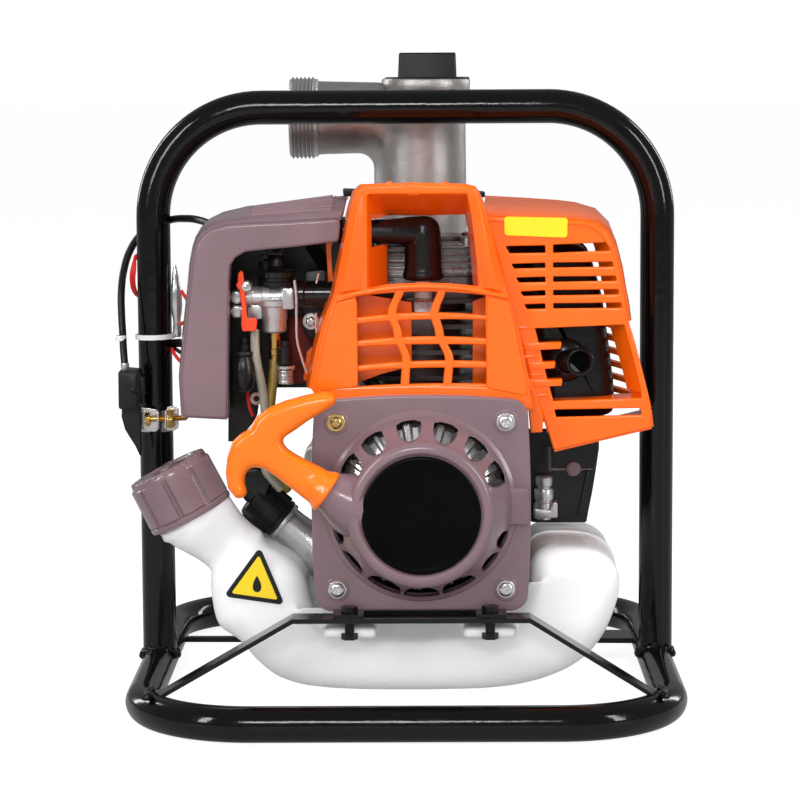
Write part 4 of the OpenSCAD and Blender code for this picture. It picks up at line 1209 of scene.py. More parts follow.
def guard_step(left, right):
    """Relief step on the left of the panel."""
    points = [(left[0] - 1, left[1] - 1.0), (right[0], right[1] - 1.0),
              (right[0], right[1] + 1.0), (left[0] - 1, left[1] + 1.0)]
    return block("guard_step", points, -98.0, -95, edge=0.7)


def muffler_cover():
    walls = guard_walls()
    fins = [guard_fin(*ends) for ends in (((65.1, 198.8), (82.8, 199.5)),
                                          ((67.6, 188.5), (79.6, 189.2)),
                                          ((69.4, 179.3), (83.3, 179.8)))]
    steps = [guard_step(*ends) for ends in (((60.6, 208.9), (68.3, 209.4)),
                                            ((63.5, 193.5), (71.6, 194.0)),
                                            ((67.3, 183.7), (74.1, 184.2)),
                                            ((70.7, 172.7), (77.6, 173.2)))]
    upright = [(74.6, 254.6), (78.9, 254.6), (79.2, 217.0), (74.8, 217.0)]
    ledge = [(43.1, 267.8), (62.5, 266.5), (81.2, 266.1), (93.6, 265.3), (101.5, 263.5),
             (106.1, 259.5), (110.2, 251.3), (108.3, 251.1), (104.3, 257.8), (100.1, 261.6),
             (93.1, 263.1), (81.2, 263.9), (62.5, 264.2), (44.1, 265.6)]
    parts = [guard_face(), guard_top()] + walls[:4] + fins + walls[4:] + steps
    parts += [panel("guard_upright", upright, -94.6, -92.2, edge=0.4, steps=1),
              panel("guard_ledge", ledge, -98.2, -96.6, edge=0.6, steps=3)]
    finish(join("muffler_guard", parts), "orange_moulding", smooth=28,
           replaces="muffler_cover")
    label = [(52.8, 268.0), (86.4, 267.1), (86.1, 256.7), (53.1, 258.1)]
    sticker = panel("cover_sticker", label, -98.3, -97.3, edge=0.12, steps=1, corner=1.6,
                    corner_steps=4)
    finish(sticker, "plain_label", smooth=35, replaces="cover_label")


muffler_cover()


# ------------------------------------------------------------------ air cleaner cover
def air_cover_ribs():
    """Five grip ribs across the sloping top, and a rail along each end of them."""
    front_left, front_right = (-82.1, 265.8), (-37.4, 268.4)
    back_left, back_right = (-84.4, 269.3), (-38.1, 275.4)
    ribs = []
    for k in range(5):
        t = (k + 0.3) / (5 - 0.2)
        y = -88 + 34 * t
        left = (front_left[0] + 1, y,
                front_left[1] + (back_left[1] - front_left[1]) * t * 0.92 + 2.5)
        right = (front_right[0] - 1, y,
                 front_right[1] + (back_right[1] - front_right[1]) * t * 0.92 + 2.5)
        ribs.append(rod("rib", [left, right], 1.35, facets=3))
    for (x, z_front), (_, z_back) in ((front_left, back_left), (front_right, back_right)):
        ribs.append(rod("rib_rail", [(x, -88.5, z_front + 1.6), (x, -53, z_back + 1.0)], 0.8,
                        facets=3))
    return ribs


def air_cover():
    front = [(-117.7, 162.2), (-118.5, 184.0), (-115.8, 208.8), (-113.1, 230.8),
             (-111.6, 244.0), (-110.3, 251.0), (-108.8, 254.7), (-106.0, 258.4),
             (-101.3, 261.7), (-93.2, 263.9), (-81.9, 264.6), (-65.7, 265.3), (-48.2, 266.2),
             (-33.4, 267.2)]
    middle = [(-118.5, 161.3), (-119.2, 183.2), (-116.7, 208.1), (-114.0, 230.3),
              (-112.5, 243.5), (-111.2, 251.3), (-109.7, 255.7), (-106.8, 259.5),
              (-102.4, 262.9), (-94.2, 265.3), (-82.6, 266.3), (-66.0, 267.4),
              (-48.4, 268.6), (-32.1, 269.7)]
    back = [(-121.9, 156.5), (-122.9, 178.9), (-120.4, 204.5), (-117.6, 227.2),
            (-116.2, 240.8), (-114.4, 249.8), (-112.7, 254.8), (-109.8, 259.7),
            (-105.0, 264.4), (-97.9, 267.8), (-84.6, 270.8), (-67.9, 272.3), (-49.8, 274.3),
            (-31.3, 276.3)]
    face = front + [(-33.8, 261.2), (-34.4, 255.2), (-57.1, 252.7), (-72.9, 251.3),
                    (-83.4, 250.2), (-89.2, 247.0), (-92.3, 242.2), (-93.1, 233.4),
                    (-93.8, 208.7), (-94.7, 160.9)]
    inner = [(-94.4, 161.2), (-93.6, 208.7), (-92.9, 233.4), (-92.1, 242.2), (-89.0, 246.8),
             (-83.2, 250.0), (-72.9, 251.1), (-57.1, 252.5), (-34.4, 255.1)]
    parts = [
        panel("air_face", face, -97.0, -94.0, edge=1.3, steps=4, corner=2.5),
        sheet("air_wall", [at_y(front, -95.6), at_y(middle, -90.0, dz=0.2),
                           at_y(back, -52.0), at_y(back, -24.0, dz=-1.5)], 2.2),
        swept_sheet("air_foot", [(-118.1, 162.2), (-94.7, 160.9)],
                    ((-95.6, 0, 0.6), (-30.0, 0, 0.6)), 2.2),
        swept_sheet("air_inner", inner, ((-95.6, -0.8, 0.8), (-78.0, -0.8, 0.8)), 1.8)]
    cover = join("air_cleaner_cover", parts + air_cover_ribs())
    finish(cover, "taupe_moulding", replaces="air_cover")


air_cover()

# ------------------------------------------------------------------ fuel tank
CAP_SEAT = Vector((-116.5, -84, 110))
CAP_AXIS = Vector((math.sin(math.radians(-27)), 0, math.cos(math.radians(27))))
TANK_OUTLINE = [  # x, z of the saddle section, from the upper left down and round
    (-93.3, 95.6), (-97.6, 91.0), (-101.9, 85.1), (-104.7, 80.0), (-105.5, 73.1),
    (-105.1, 64.6), (-103.8, 56.1), (-101.8, 46.7), (-89.5, 40), (-82, 29.5), (-70.5, 19.5),
    (-57, 14.8), (-40, 12.8), (-20, 12), (10, 11.8), (40, 12.3), (58, 14), (73, 17.4),
    (88, 23.5), (99, 31.5), (107, 42), (112, 54), (115.5, 66), (115.5, 74), (113, 80.5),
    (108.5, 85.5), (101, 88.6), (92, 89.6), (80, 89.8), (72, 89.2), (67.5, 86), (65.6, 78),
    (64.6, 66), (62, 56.5), (56, 51), (46, 49), (0, 47.6), (-28, 48), (-38, 50.5),
    (-49.3, 53.7), (-51.1, 64.4), (-52.9, 72.9), (-56.6, 79.3), (-63.7, 84.9), (-73.7, 90.0),
    (-82.9, 94.8), (-89.5, 97.3)]


def tank_flange():
    """Thin raised flange along the parting line."""
    points = softened(TANK_OUTLINE, 3, 3)
    normals = side_normals(points)
    rings = []
    for y, grow in ((-40.4, -0.6), (-40.0, 1.1), (-38.8, 1.1), (-38.4, -0.6)):
        rings.append([(point.x + normal.x * grow, y, point.y + normal.y * grow)
                      for point, normal in zip(points, normals)])
    finish(loft("tank_flange", rings, closed=True, capped=False), "translucent_tank")


def saddle_tank():
    body = pillow("tank_body", TANK_OUTLINE, -102, 17, 15)
    neck = lathe("neck", [(19.5, -10), (20.2, -7), (19.6, -4.0), (18.4, -2.0), (18.2, 3.0)],
                 CAP_SEAT, CAP_AXIS, sides=64)
    start, end = Vector((-111.0, -84, 105.6)), Vector((-93.1, -80, 87.9))
    profile = [(12, -9), (20.4, -7), (20.6, 0), (18.6, 8), (16.8, 16), (16.4, 24), (17.5, 30),
               (14, 38)]
    fillet = lathe("fillet", profile, start, end - start, sides=64)
    ears = []
    for x in (-29.5, 44.5):
        points = [(x - 14.5, 47.6), (x + 14.5, 47.6), (x + 14.0, 53.6), (x - 14.0, 53.6)]
        ears.append(block("ear", points, -126, -82, edge=1.5, steps=3, corner=1.6))
    tank = remeshed(join("tank_raw", [body, neck, fillet] + ears), voxel=1.5, smoothings=7)
    tank.name = "saddle_tank"
    tank_flange()
    finish(tank, "translucent_tank", smooth=0, replaces="fuel_tank")
    thread = lathe("neck_thread", [(18.0, -9.4), (19.9, -8.6), (19.9, -7.6), (18.4, -6.8),
                                   (18.4, -6.0), (19.9, -5.2), (19.9, -4.4), (18.0, -3.6)],
                   CAP_SEAT, CAP_AXIS, sides=64, capped=False)
    finish(thread, "translucent_tank", smooth=40)


def filler_cap():
    def grips(angle, height, radius):
        """Nine broad pads with a narrow rib between them."""
        if height < 0.8 or height > 22.6 or radius < 21:
            return 1
        part = (angle / (2 * math.pi) * 9) % 1.0
        if part < 0.80:
            return 1 + 0.75 / radius
        if 0.875 < part < 0.925:
            return 1 + 0.95 / radius
        return 1

    profile = [(15, -3.4), (22.2, -3.4), (23.2, -2.8), (23.5, -1.8), (23.4, -0.2),
               (22.75, 0.4), (22.7, 1.0), (22.6, 1.6), (22.5, 12), (22.4, 21.6),
               (22.3, 22.2), (22.2, 22.8), (21.9, 24.6), (21.2, 25.7), (20.2, 26.3),
               (19.0, 26.4), (17.6, 26.2), (16.8, 25.6), (8, 25.5), (0.3, 25.5)]
    shell = lathe("cap_shell", profile, CAP_SEAT, CAP_AXIS, sides=360, swell=grips)
    x, y, z = basis(CAP_AXIS)
    knobs = []
    for k in range(30):
        angle = 2 * math.pi * k / 30
        seat = (CAP_SEAT + x * (20.6 * math.cos(angle)) + y * (20.6 * math.sin(angle))
                + z * 25.0)
        knobs.append(lathe("knob", [(1.25, -1.6), (1.25, 0.6), (0.9, 1.15), (0.3, 1.3)],
                           seat, z, sides=12))
    # the bar is drawn standing, then laid across the top of the cap
    bar = prism("cap_bar", rounded([(-14, -3), (14, -3), (14, 3), (-14, 3)], 3, 4), 24.8, 27.4)
    bar.data.transform(Matrix.Rotation(math.pi / 2, 4, "X"))
    place(bevel(bar, 0.8), CAP_SEAT, CAP_AXIS)
    cap = join("filler_cap", [shell, bar] + knobs)
    recalc_normals(cap)
    finish(cap, "taupe_moulding", "tank_cap", smooth=28, replaces="fuel_cap")


def tank_sticker():
    """Yellow triangle with a black border and a black drop."""
    corners = ((-77.6, 93.1), (-97.4, 66.1), (-64.6, 61.2))
    centre = Vector((sum(x for x, _ in corners) / 3, sum(z for _, z in corners) / 3))

    def triangle(scale):
        return [tuple(centre + (Vector(corner) - centre) * scale) for corner in corners]

    drop = []
    for k in range(24):
        angle = 2 * math.pi * k / 24
        across = 3.1 * math.sin(angle) * (math.sin(angle / 2) ** 1.1)
        drop.append((centre.x + 0.5 + across, centre.y - 0.6 + 3.1 * math.cos(angle) * 1.45))
    finish(panel("sticker_edge", triangle(1.0), -102.5, -102.0, edge=0.08, steps=1,
                 corner=2.0, corner_steps=5), "black_moulding", smooth=35)
    finish(panel("sticker_face", triangle(0.76), -102.65, -102.35, edge=0.05, steps=1,
                 corner=0.8, corner_steps=5), "plain_label", smooth=35)
    finish(panel("sticker_drop", drop, -102.8, -102.5, edge=0.04, steps=1), "black_moulding",
           smooth=35)


saddle_tank()
filler_cap()
tank_sticker()


# ------------------------------------------------------------------ oil filler
def oil_filler():
    axis = Vector((-0.766, 0, 0.643))
    seat = Vector((-75.7, -56, 106.6)) - axis * 9.6

    def flutes(angle, height, radius):
        ridge = height > 3 and height < 18.2 and radius > 11 and math.sin(angle * 18) > 0
        return 1 + (0.07 if ridge else 0)

    profile = [(9.5, -0.5), (11.4, -0.5), (11.6, 0.2), (11.6, 1.4), (11.0, 1.8), (11.0, 2.2),
               (11.3, 2.6), (11.4, 18.2), (11.0, 19.4), (10.0, 20.1), (9.0, 20.3),
               (8.4, 19.6), (0.3, 19.5)]
    parts = [lathe("oil_shell", profile, seat, axis, sides=216, swell=flutes)]
    for k in range(4):
        grip = block("oil_grip", [(-2.6, 2.0), (2.6, 2.0), (2.6, 18.0), (-2.6, 18.0)],
                     -12.4, -9.5, edge=0.7, corner=1.2)
        grip.data.transform(Matrix.Rotation(math.pi / 2 * k + 0.2, 4, "Z"))
        parts.append(place(grip, seat, axis))
    cap = join("oil_filler_cap", parts)
    recalc_normals(cap)
    finish(cap, "black_moulding", "dipstick", smooth=28, replaces="oil_cap")
    rim = [(8, -3.2), (10.9, -3.2), (11.2, -2.8), (11.2, -1.2), (10.9, -0.7), (8, -0.7)]
    finish(lathe("oil_neck_rim", rim, seat, axis, sides=64, capped=False),
           "fine_cast_aluminium")
    neck = [(9.6, -3.0), (9.7, -8), (10.0, -13), (10.6, -19), (11.6, -25), (13.0, -31),
            (14.0, -38), (14.2, -44)]
    finish(lathe("oil_neck_body", neck, seat, axis, sides=64, capped=False),
           "fine_cast_aluminium", smooth=40, replaces="oil_neck")


def linkage_boot():
    points = [(-88.8, 113.0), (-89.4, 124.9), (-86.8, 129.9), (-80.8, 130.6), (-76.2, 128.2),
              (-72.5, 121.4), (-75.9, 113.0), (-82.7, 107.1)]
    boot = block("linkage_boot", points, -66, -54, edge=2.0, steps=3, corner=3,
                 corner_steps=4)
    finish(boot, "black_rubber", smooth=40)


oil_filler()
linkage_boot()

# ------------------------------------------------------------------ pump, behind the engine
COLUMN_X, COLUMN_Y = 8.5, 52.5  # upright column that leads to the outlet
OUTLET = (COLUMN_X, COLUMN_Y, 317)
BOLT_CIRCLE = 61
THREAD_PITCH = 2.309


def pipe_thread(name, origin, axis, radius, length, depth, start):
    root, inside, end = radius - depth, radius - depth - 3, start + length
    profile = [(inside, start - 0.2), (root, start - 0.2)]
    for k in range(int(length / THREAD_PITCH)):
        foot = start + k * THREAD_PITCH
        profile += [(root, foot + THREAD_PITCH * 0.06), (radius, foot + THREAD_PITCH * 0.42),
                    (radius, foot + THREAD_PITCH * 0.58), (root, foot + THREAD_PITCH * 0.94)]
    profile += [(root, end), (inside, end)]
    thread = lathe(name, profile, origin, axis, sides=96, capped=False)
    finish(thread, "cast_aluminium", smooth=25)


def outlet_elbow():
    """Bend from the column over to the outlet on the left."""
    rings = []
    for j in range(17):
        turn = math.radians(95 * j / 16 - 2)
        centre_x, centre_z = -27.0 + 29.5 * math.sin(turn), 287.5 + 29.5 * math.cos(turn)
        ring = []
        for i in range(48):
            angle = 2 * math.pi * i / 48
            out = 20.4 * math.cos(angle)
            ring.append((centre_x + out * math.sin(turn), COLUMN_Y + 20.4 * math.sin(angle),
                         centre_z + out * math.cos(turn)))
        rings.append(ring)
    return loft("elbow", rings, closed=True)


def bolt_places(y):
    angles = [math.radians(60 * k) for k in range(6)]
    return [(SHAFT_X + BOLT_CIRCLE * math.cos(angle), y,
             SHAFT_Z + BOLT_CIRCLE * math.sin(angle)) for angle in angles]


def pump_casing():
    volute = [(30, 24.2), (56, 24.2), (60.5, 26), (63, 30), (64, 36), (64, 73), (63.4, 75)]
    flange = [(40, 73.5), (64.8, 73.5), (65.6, 74.4), (65.6, 79.2), (64.8, 80.0), (40, 80.0)]
    column = [(24, 150), (30.5, 165), (28.6, 190), (27.3, 230), (26.8, 270), (26.5, 300),
              (26.3, 331)]
    pipe = [(19.0, 20), (20.3, 21), (21.0, 54), (21.4, 60)]
    parts = [
        lathe("volute", volute, SHAFT, BACK, sides=128),
        lathe("flange", flange, SHAFT, BACK, sides=128),
        lathe("column", column, (COLUMN_X, COLUMN_Y, 0), UP, sides=96),
        lathe("pipe", pipe, OUTLET, LEFT, sides=96),
        outlet_elbow(),
        pillow("column_foot", [(-24, 150), (-22, 178), (39, 178), (41, 150)], COLUMN_Y - 24,
               COLUMN_Y + 24, 16, steps=5)]
    boss = [(8.2, 62), (8.6, 64), (8.6, 79.8), (3, 79.9)]
    parts += [lathe("pump_boss", boss, seat, BACK, sides=32) for seat in bolt_places(0)]
    casing = remeshed(join("pump_raw", parts), voxel=1.7, smoothings=9)
    casing.name = "pump_body_cast"
    cut(casing, [lathe("outlet_bore", [(16.4, 30), (16.4, 80)], OUTLET, LEFT, sides=64),
                 lathe("shaft_bore", [(33, 66), (33, 84)], SHAFT, BACK, sides=64)])
    finish(casing, "cast_aluminium", smooth=50, replaces="pump_casing")


def pump_ports():
    ring = [(16.6, 58.5), (21.6, 58.5), (22.4, 59.0), (22.4, 74.4), (21.6, 75.0),
            (20.4, 75.1), (17.2, 75.1), (16.6, 74.5), (16.4, 60), (16.6, 58.5)]
    finish(lathe("outlet_ring", ring, OUTLET, LEFT, sides=96, capped=False),
           "fine_cast_aluminium")
    pipe_thread("outlet_thread", OUTLET, LEFT, radius=23.5, length=13.9, depth=1.4, start=60.4)
    flange = [(16, 330.4), (23.5, 330.4), (24.8, 331.0), (25.3, 332.2), (25.5, 338.0),
              (25.0, 339.0), (24.0, 339.4), (16.3, 339.4), (16.3, 331)]
    finish(lathe("prime_flange", flange, (12, COLUMN_Y, 0), UP, sides=96, capped=False),
           "cast_aluminium", smooth=35)
    pipe_thread("suction_thread", SHAFT, BACK, radius=23.9, length=15.6, depth=1.48,
                start=120.2)


def pump_cover_ribs():
    """Six radial ribs cast on the cover."""
    faces = [(0, 2, 4, 6), (1, 7, 5, 3), (0, 1, 3, 2), (2, 3, 5, 4), (4, 5, 7, 6), (6, 7, 1, 0)]
    ribs = []
    for k in range(6):
        angle = math.radians(60 * k + 30)
        out = Vector((math.cos(angle), 0, math.sin(angle)))
        across = Vector((-math.sin(angle), 0, math.cos(angle)))
        vertices = []
        for radius, y in ((30, 86.8), (58, 86.8), (57, 89.5), (31.5, 98)):
            for side in (-1, 1):
                point = Vector(SHAFT) + out * radius + across * (2.0 * side)
                vertices.append((point.x, y, point.z))
        ribs.append(bevel(mesh_object("pump_rib", vertices, faces), 0.9))
    finish(join("pump_cover_ribs", ribs), "cast_aluminium", smooth=35)


def pump_cover_bolts():
    washer_profile = [(3.2, 0), (7.0, 0), (7.2, 0.3), (7.2, 1.1), (6.9, 1.4), (3.2, 1.4)]
    head_profile = [(5.75, 1.3), (5.9, 1.7), (5.9, 5.0), (5.2, 5.7), (3.6, 5.85), (3.2, 5.3),
                    (0.2, 5.25)]
    for k, seat in enumerate(bolt_places(87.1)):
        washer = lathe("washer", washer_profile, seat, BACK, sides=40, capped=False)
        head = bevel(lathe("head", head_profile, seat, BACK, sides=6), 0.3, angle=25)
        finish(join("cover_bolt_%d" % k, [washer, head]), "zinc_steel", smooth=25,
               replaces="cover_bolts")


pump_casing()
pump_ports()
pump_cover_ribs()
pump_cover_bolts()


# ------------------------------------------------------------------ spark plug and its lead
def spark_plug():
    x, y = 10.0, -70.5
    z_lead = 258.5
    profile = [(5, 232.5), (9.8, 232.6), (10.8, 233.6), (11.0, 236.0), (10.2, 237.4),
               (9.9, 239), (9.9, 246), (9.8, 254), (9.6, z_lead), (8.6, z_lead + 4.4),
               (6.6, z_lead + 6.8), (3.6, z_lead + 8.2), (0.3, z_lead + 8.6)]
    upright = lathe("boot_upright", profile, (x, y, 0), UP)
    profile = [(2, -7), (7.2, -4), (8.2, 2), (8.0, 8), (7.2, 14), (6.6, 20), (6.4, 32),
               (6.5, 38), (6.5, 48), (5.0, 49)]
    arm = lathe("boot_arm", profile, (x, y, z_lead), (-1, -0.40, 0.035))
    boot = remeshed(join("boot_raw", [upright, arm]), voxel=0.7, smoothings=5)
    boot.name = "plug_boot_moulding"
    finish(boot, "black_rubber", smooth=0, replaces="plug_boot")
    tube("ignition_lead", [(x - 43, y - 17, z_lead + 1.6), (x - 50, y - 14, z_lead),
                           (-50, y + 6, 252), (-45, y + 22, 240), (-42, y + 26, 222),
                           (-36, y + 24, 200), (-22, y + 6, 180), (-14, -66, 172)],
         3.6, "black_rubber", steps=12)
    profile = [(3.2, 222.5), (5.0, 223), (5.2, 224), (4.8, 225), (4.8, 227), (4.5, 227.5),
               (4.8, 228), (4.8, 230), (4.4, 230.6), (4.6, 231.2), (4.6, 233)]
    finish(lathe("plug_insulator", profile, (x, y, 0), UP, sides=40), "white_ceramic",
           smooth=40, replaces="spark_plug")
    profile = [(9.6, 215.0), (10.0, 215.6), (10.0, 221.4), (9.2, 222.4), (6, 222.8)]
    hexagon = lathe("plug_hex", profile, (x, y, 0), UP, sides=6)
    finish(bevel(hexagon, 0.5, angle=25), "zinc_steel", smooth=25)


spark_plug()


# ------------------------------------------------------------------ carburettor and surroundings
def airbox():
    """Dark back of the air box with the plates round it, behind the carburettor."""
    back = [(-95.1, 244.0), (-85.7, 247.5), (-58.7, 249.9), (-40.3, 251.4), (-40.4, 235.6),
            (-41.7, 217.5), (-45.7, 197.6), (-50.4, 180.4), (-52.3, 172.1), (-72.2, 172.1),
            (-95.7, 169.7)]
    stay = [(-97.4, 172.5), (-72.1, 173.5), (-72.1, 168.9), (-80.3, 165.3), (-81.7, 156.2),
            (-85.0, 150.8), (-93.2, 141.7), (-97.9, 141.7)]
    side_wall = [(-42.4, 252.1), (-31.5, 254.7), (-32.8, 228.7), (-37.2, 221.1),
                 (-40.6, 204.8), (-45.0, 192.9), (-48.4, 177.0), (-55.5, 177.6),
                 (-53.5, 192.9), (-48.0, 198.3), (-44.9, 213.0), (-41.5, 221.2),
                 (-41.7, 237.4)]
    rim = [(-97.5, 220.6), (-94.5, 220.6), (-95.2, 164.5), (-98.2, 164.5)]
    finish(panel("airbox_back", back, -50.0, -47.0, edge=0.8, corner=1.5), "black_moulding",
           smooth=35, replaces="air_base")
    finish(panel("airbox_stay", stay, -44.6, -41.0, edge=0.6), "black_moulding", smooth=35)
    finish(panel("shroud_side_wall", side_wall, -63.0, -60.6, edge=0.5, corner=1.2),
           "orange_moulding", smooth=35)
    finish(panel("air_base_rim", rim, -53.4, -50.6, edge=0.4, corner=0.6, corner_steps=2),
           "black_moulding", smooth=35)


def choke():
    arm = [(-88.4, 237.9), (-86.6, 239.8), (-85.6, 237.9), (-85.0, 230.8), (-84.2, 220.1),
           (-83.8, 214.1), (-79.0, 214.0), (-78.5, 212.1), (-79.1, 207.2), (-86.3, 207.0),
           (-87.0, 210.3), (-86.7, 219.2), (-87.7, 229.0), (-88.7, 229.9), (-89.6, 231.9),
           (-88.5, 233.4)]
    finish(panel("choke_arm", arm, -89.8, -86.4, edge=0.55, steps=3, corner=0.6),
           "choke_red", "choke", smooth=35, replaces="choke_lever")
    pivot = [(0.3, 89.2), (1.6, 90.8), (2.4, 90.6), (2.7, 89.8), (2.7, 80)]
    finish(lathe("choke_pivot", pivot, (-84, 0, 231), FRONT, sides=32), "zinc_steel", "choke")


def carb_body():
    barrel = [(4.0, 0), (6.4, 0), (6.8, 0.6), (6.8, 3.2), (5.8, 3.8), (5.8, 9.0), (6.6, 9.6),
              (6.6, 13.2), (5.8, 13.8), (5.8, 19), (7.4, 19.6), (7.4, 22.6), (5.0, 23.0)]
    finish(lathe("carb_barrel", barrel, (-85.4, -76, 224.2), RIGHT), "fine_cast_aluminium",
           replaces="carb_body")
    core = [(-84.1, 220.6), (-76.3, 220.5), (-76.4, 212.8), (-79.0, 212.5), (-84.2, 212.7)]
    finish(block("carb_core", core, -80, -60, edge=0.7, corner=1.0), "fine_cast_aluminium")
    rear = [(-84.9, 228.0), (-58.5, 228.4), (-58.6, 217.2), (-85.0, 217.7)]
    finish(block("carb_core_rear", rear, -68, -54, edge=0.8, corner=1.0),
           "dark_grey_alloy")
    side = [(-65.2, 229.6), (-59.1, 229.6), (-58.9, 218.1), (-65.3, 218.0)]
    finish(block("carb_block", side, -84, -66, edge=0.8, corner=1.2), "fine_cast_aluminium")
    for k, (x, z, radius, sides) in enumerate(((-89.8, 224.3, 3.6, 40),
                                               (-89.9, 216.7, 3.9, 6))):
        profile = [(radius * 0.6, -4), (radius, -3.6), (radius, 3.2), (radius * 0.8, 3.8),
                   (0.3, 3.9)]
        stub = lathe("carb_stub_%d" % k, profile, (x, -76, z), FRONT, sides=sides)
        finish(bevel(stub, 0.3, angle=25), "zinc_steel", smooth=25)


def carb_bowl():
    bowl = (-69.9, -76, 0)
    cup = [(0.3, 205), (5.4, 205.2), (6.4, 206.0), (6.6, 207.6), (6.6, 211.5), (7.0, 212.5),
           (7.0, 219.0), (7.4, 219.6), (9.2, 219.8), (9.4, 220.6), (9.4, 222.6),
           (8.8, 223.4), (6, 223.6)]
    finish(lathe("carb_cup", cup, bowl, UP, sides=56), "fine_cast_aluminium",
           replaces="carb_bowl")
    holder = [(0.3, 187.5), (2.6, 187.6), (3.0, 188.4), (3.0, 192.6), (3.4, 193.0),
              (3.4, 196.0), (3.0, 196.5), (3.1, 205.4)]
    finish(lathe("jet_holder", holder, bowl, UP, sides=24), "brass")


def carb_cap():
    def knurl(angle, _height, radius):
        return 1 + (0.03 if radius > 8.5 and math.sin(angle * 18) > 0 else 0)

    x = -68.4
    profile = [(6.5, 229.6), (8.6, 229.8), (8.9, 230.6), (8.9, 232.4), (8.2, 233.0),
               (8.2, 234.2), (8.8, 234.8), (8.8, 237.6), (8.2, 238.4), (5.6, 239.0),
               (4.2, 241), (3.8, 246.0), (3.2, 247.0), (0.3, 247.2)]
    finish(lathe("carb_cap_moulding", profile, (x, -74, 0), UP, sides=72, swell=knurl),
           "black_moulding", replaces="carb_top")
    ring = [(x + 3.6 * math.cos(math.radians(angle)), -84.0,
             251.5 + 3.6 * math.sin(math.radians(angle))) for angle in range(0, 360, 30)]
    tube("carb_cap_ring", ring, 0.8, "black_moulding", closed=True, steps=4, facets=3)


def carb_adjusters():
    """Sprung screws either side of the bowl."""
    y = -80
    for k, (x, top, bottom) in enumerate(((-64.0, 201.0, 178.0), (-85.8, 203.0, 176.5))):
        knob = [(0.3, top - 13.0), (3.4, top - 13), (3.9, top - 12.4), (3.9, top - 4.0),
                (3.4, top - 3.2), (2.6, top - 3), (2.6, top)]
        finish(lathe("adjuster_%d" % k, knob, (x, y, 0), UP, sides=32), "black_moulding")
        ring = [(2.0, top - 15.2), (4.9, top - 15.2), (5.2, top - 14.8), (5.2, top - 13.8),
                (4.9, top - 13.4), (2.0, top - 13.4)]
        finish(lathe("adjuster_ring_%d" % k, ring, (x, y, 0), UP, sides=40), "zinc_steel")
        coil = []
        for i in range(97):
            angle = i / 96 * 2 * math.pi * 7
            coil.append((x + 3.6 * math.cos(angle), y + 3.6 * math.sin(angle),
                         top - 15.6 - (top - 15.6 - bottom) * i / 96))
        tube("adjuster_spring_%d" % k, coil, 0.55, "zinc_steel", kind="POLY", facets=2)


def primer_bulb():
    profile = [(3, 196.0), (5.0, 195.8), (5.4, 195.0), (5.2, 193.6), (4.4, 193), (5.6, 190),
               (6.4, 185.6), (6.3, 180.4), (5.3, 176.6), (3.2, 174.4), (0.3, 173.8)]
    finish(lathe("primer_bulb_moulding", profile, (-86.2, -84.5, 0), UP), "black_rubber",
           smooth=50, replaces="primer_bulb")


def fuel_lines():
    """Two lines that run down behind the pull handle, with the wire beside them."""
    tube("fuel_line_clear", [(-80.2, -82, 207.2), (-80.5, -84, 198.2), (-78.7, -84, 186.6),
                             (-76.3, -82, 174.9), (-75.4, -80, 165.0), (-75.2, -76, 157.6),
                             (-77.3, -70, 131.3), (-73.4, -68, 124.9), (-68.2, -64, 118.3)],
         2.5, "clear_hose", kind="NURBS", replaces="fuel_lines")
    tube("fuel_line_olive", [(-70.1, -76, 192.2), (-70.5, -78, 183.6), (-71.7, -79, 172.2),
                             (-72.7, -78, 164.1), (-72.7, -74, 156.4), (-74.1, -67, 131.0),
                             (-68.9, -64, 122.8), (-64.2, -60, 117.2)],
         2.6, "fuel_hose", kind="NURBS", replaces="fuel_lines")
    tube("link_wire", [(-58.4, -88, 234.2), (-57.6, -88, 225.6), (-57.6, -88, 213.2),
                       (-57.3, -87, 201.6), (-55.0, -85, 192.0), (-52.5, -83, 183.8)],
         0.75, "zinc_steel", steps=8, facets=3)


def inlet():
    """Pipe, flange, bolt and gasket edges between the carburettor and the cylinder, with dark red
    sheets of painted shade beside them.
    """
    tube("gasket_edge_0", [(-45.9, -80, 237.3), (-47.1, -80, 231.8)], 0.6, "zinc_steel",
         facets=3)
    tube("gasket_edge_1", [(-47.3, -80, 215.9), (-47.5, -80, 207.0), (-46.0, -79, 200.9)],
         0.6, "zinc_steel", facets=3)
    pipe = [(7.4, 0), (8.2, 0.4), (8.2, 4), (7.2, 5), (7.2, 26), (8.6, 27), (8.6, 33)]
    finish(lathe("inlet_pipe", pipe, (-58.4, -72, 225.4), RIGHT, sides=56),
           "black_gloss_moulding", smooth=35, replaces="insulator")
    flange = [(-54.1, 236.9), (-42.1, 238.1), (-43.2, 219.0), (-45.1, 201.0), (-52.3, 200.6),
              (-55.3, 206.5)]
    finish(block("inlet_flange", flange, -66, -60, edge=0.8, corner=2.5, corner_steps=4),
           "black_moulding")
    cross_screw("inlet_bolt", (-50.7, -66.2, 210.2), "zinc_steel", head_radius=3.2,
                washer_radius=4.6, height=4.6, hexagonal=True)
    # dark red sheets of painted shade, standing for the shaded inner wall of the orange shroud
    low_shade_outline = [(-68.2, 184.6), (-57.4, 184.5), (-50.2, 181.8), (-51.2, 175.2), (-69.2, 174.6)]
    finish(panel("intake_shade_low", low_shade_outline, -53.5, -51.8, edge=0.3, steps=1),
           "red_painted_shade", smooth=35)
    shadow = [(-63.4, 211.7), (-50.8, 211.6), (-50.2, 183.6), (-63.7, 183.6)]
    finish(panel("intake_shadow", shadow, -52.5, -50.8, edge=0.3, steps=1),
           "red_painted_shade", smooth=35)


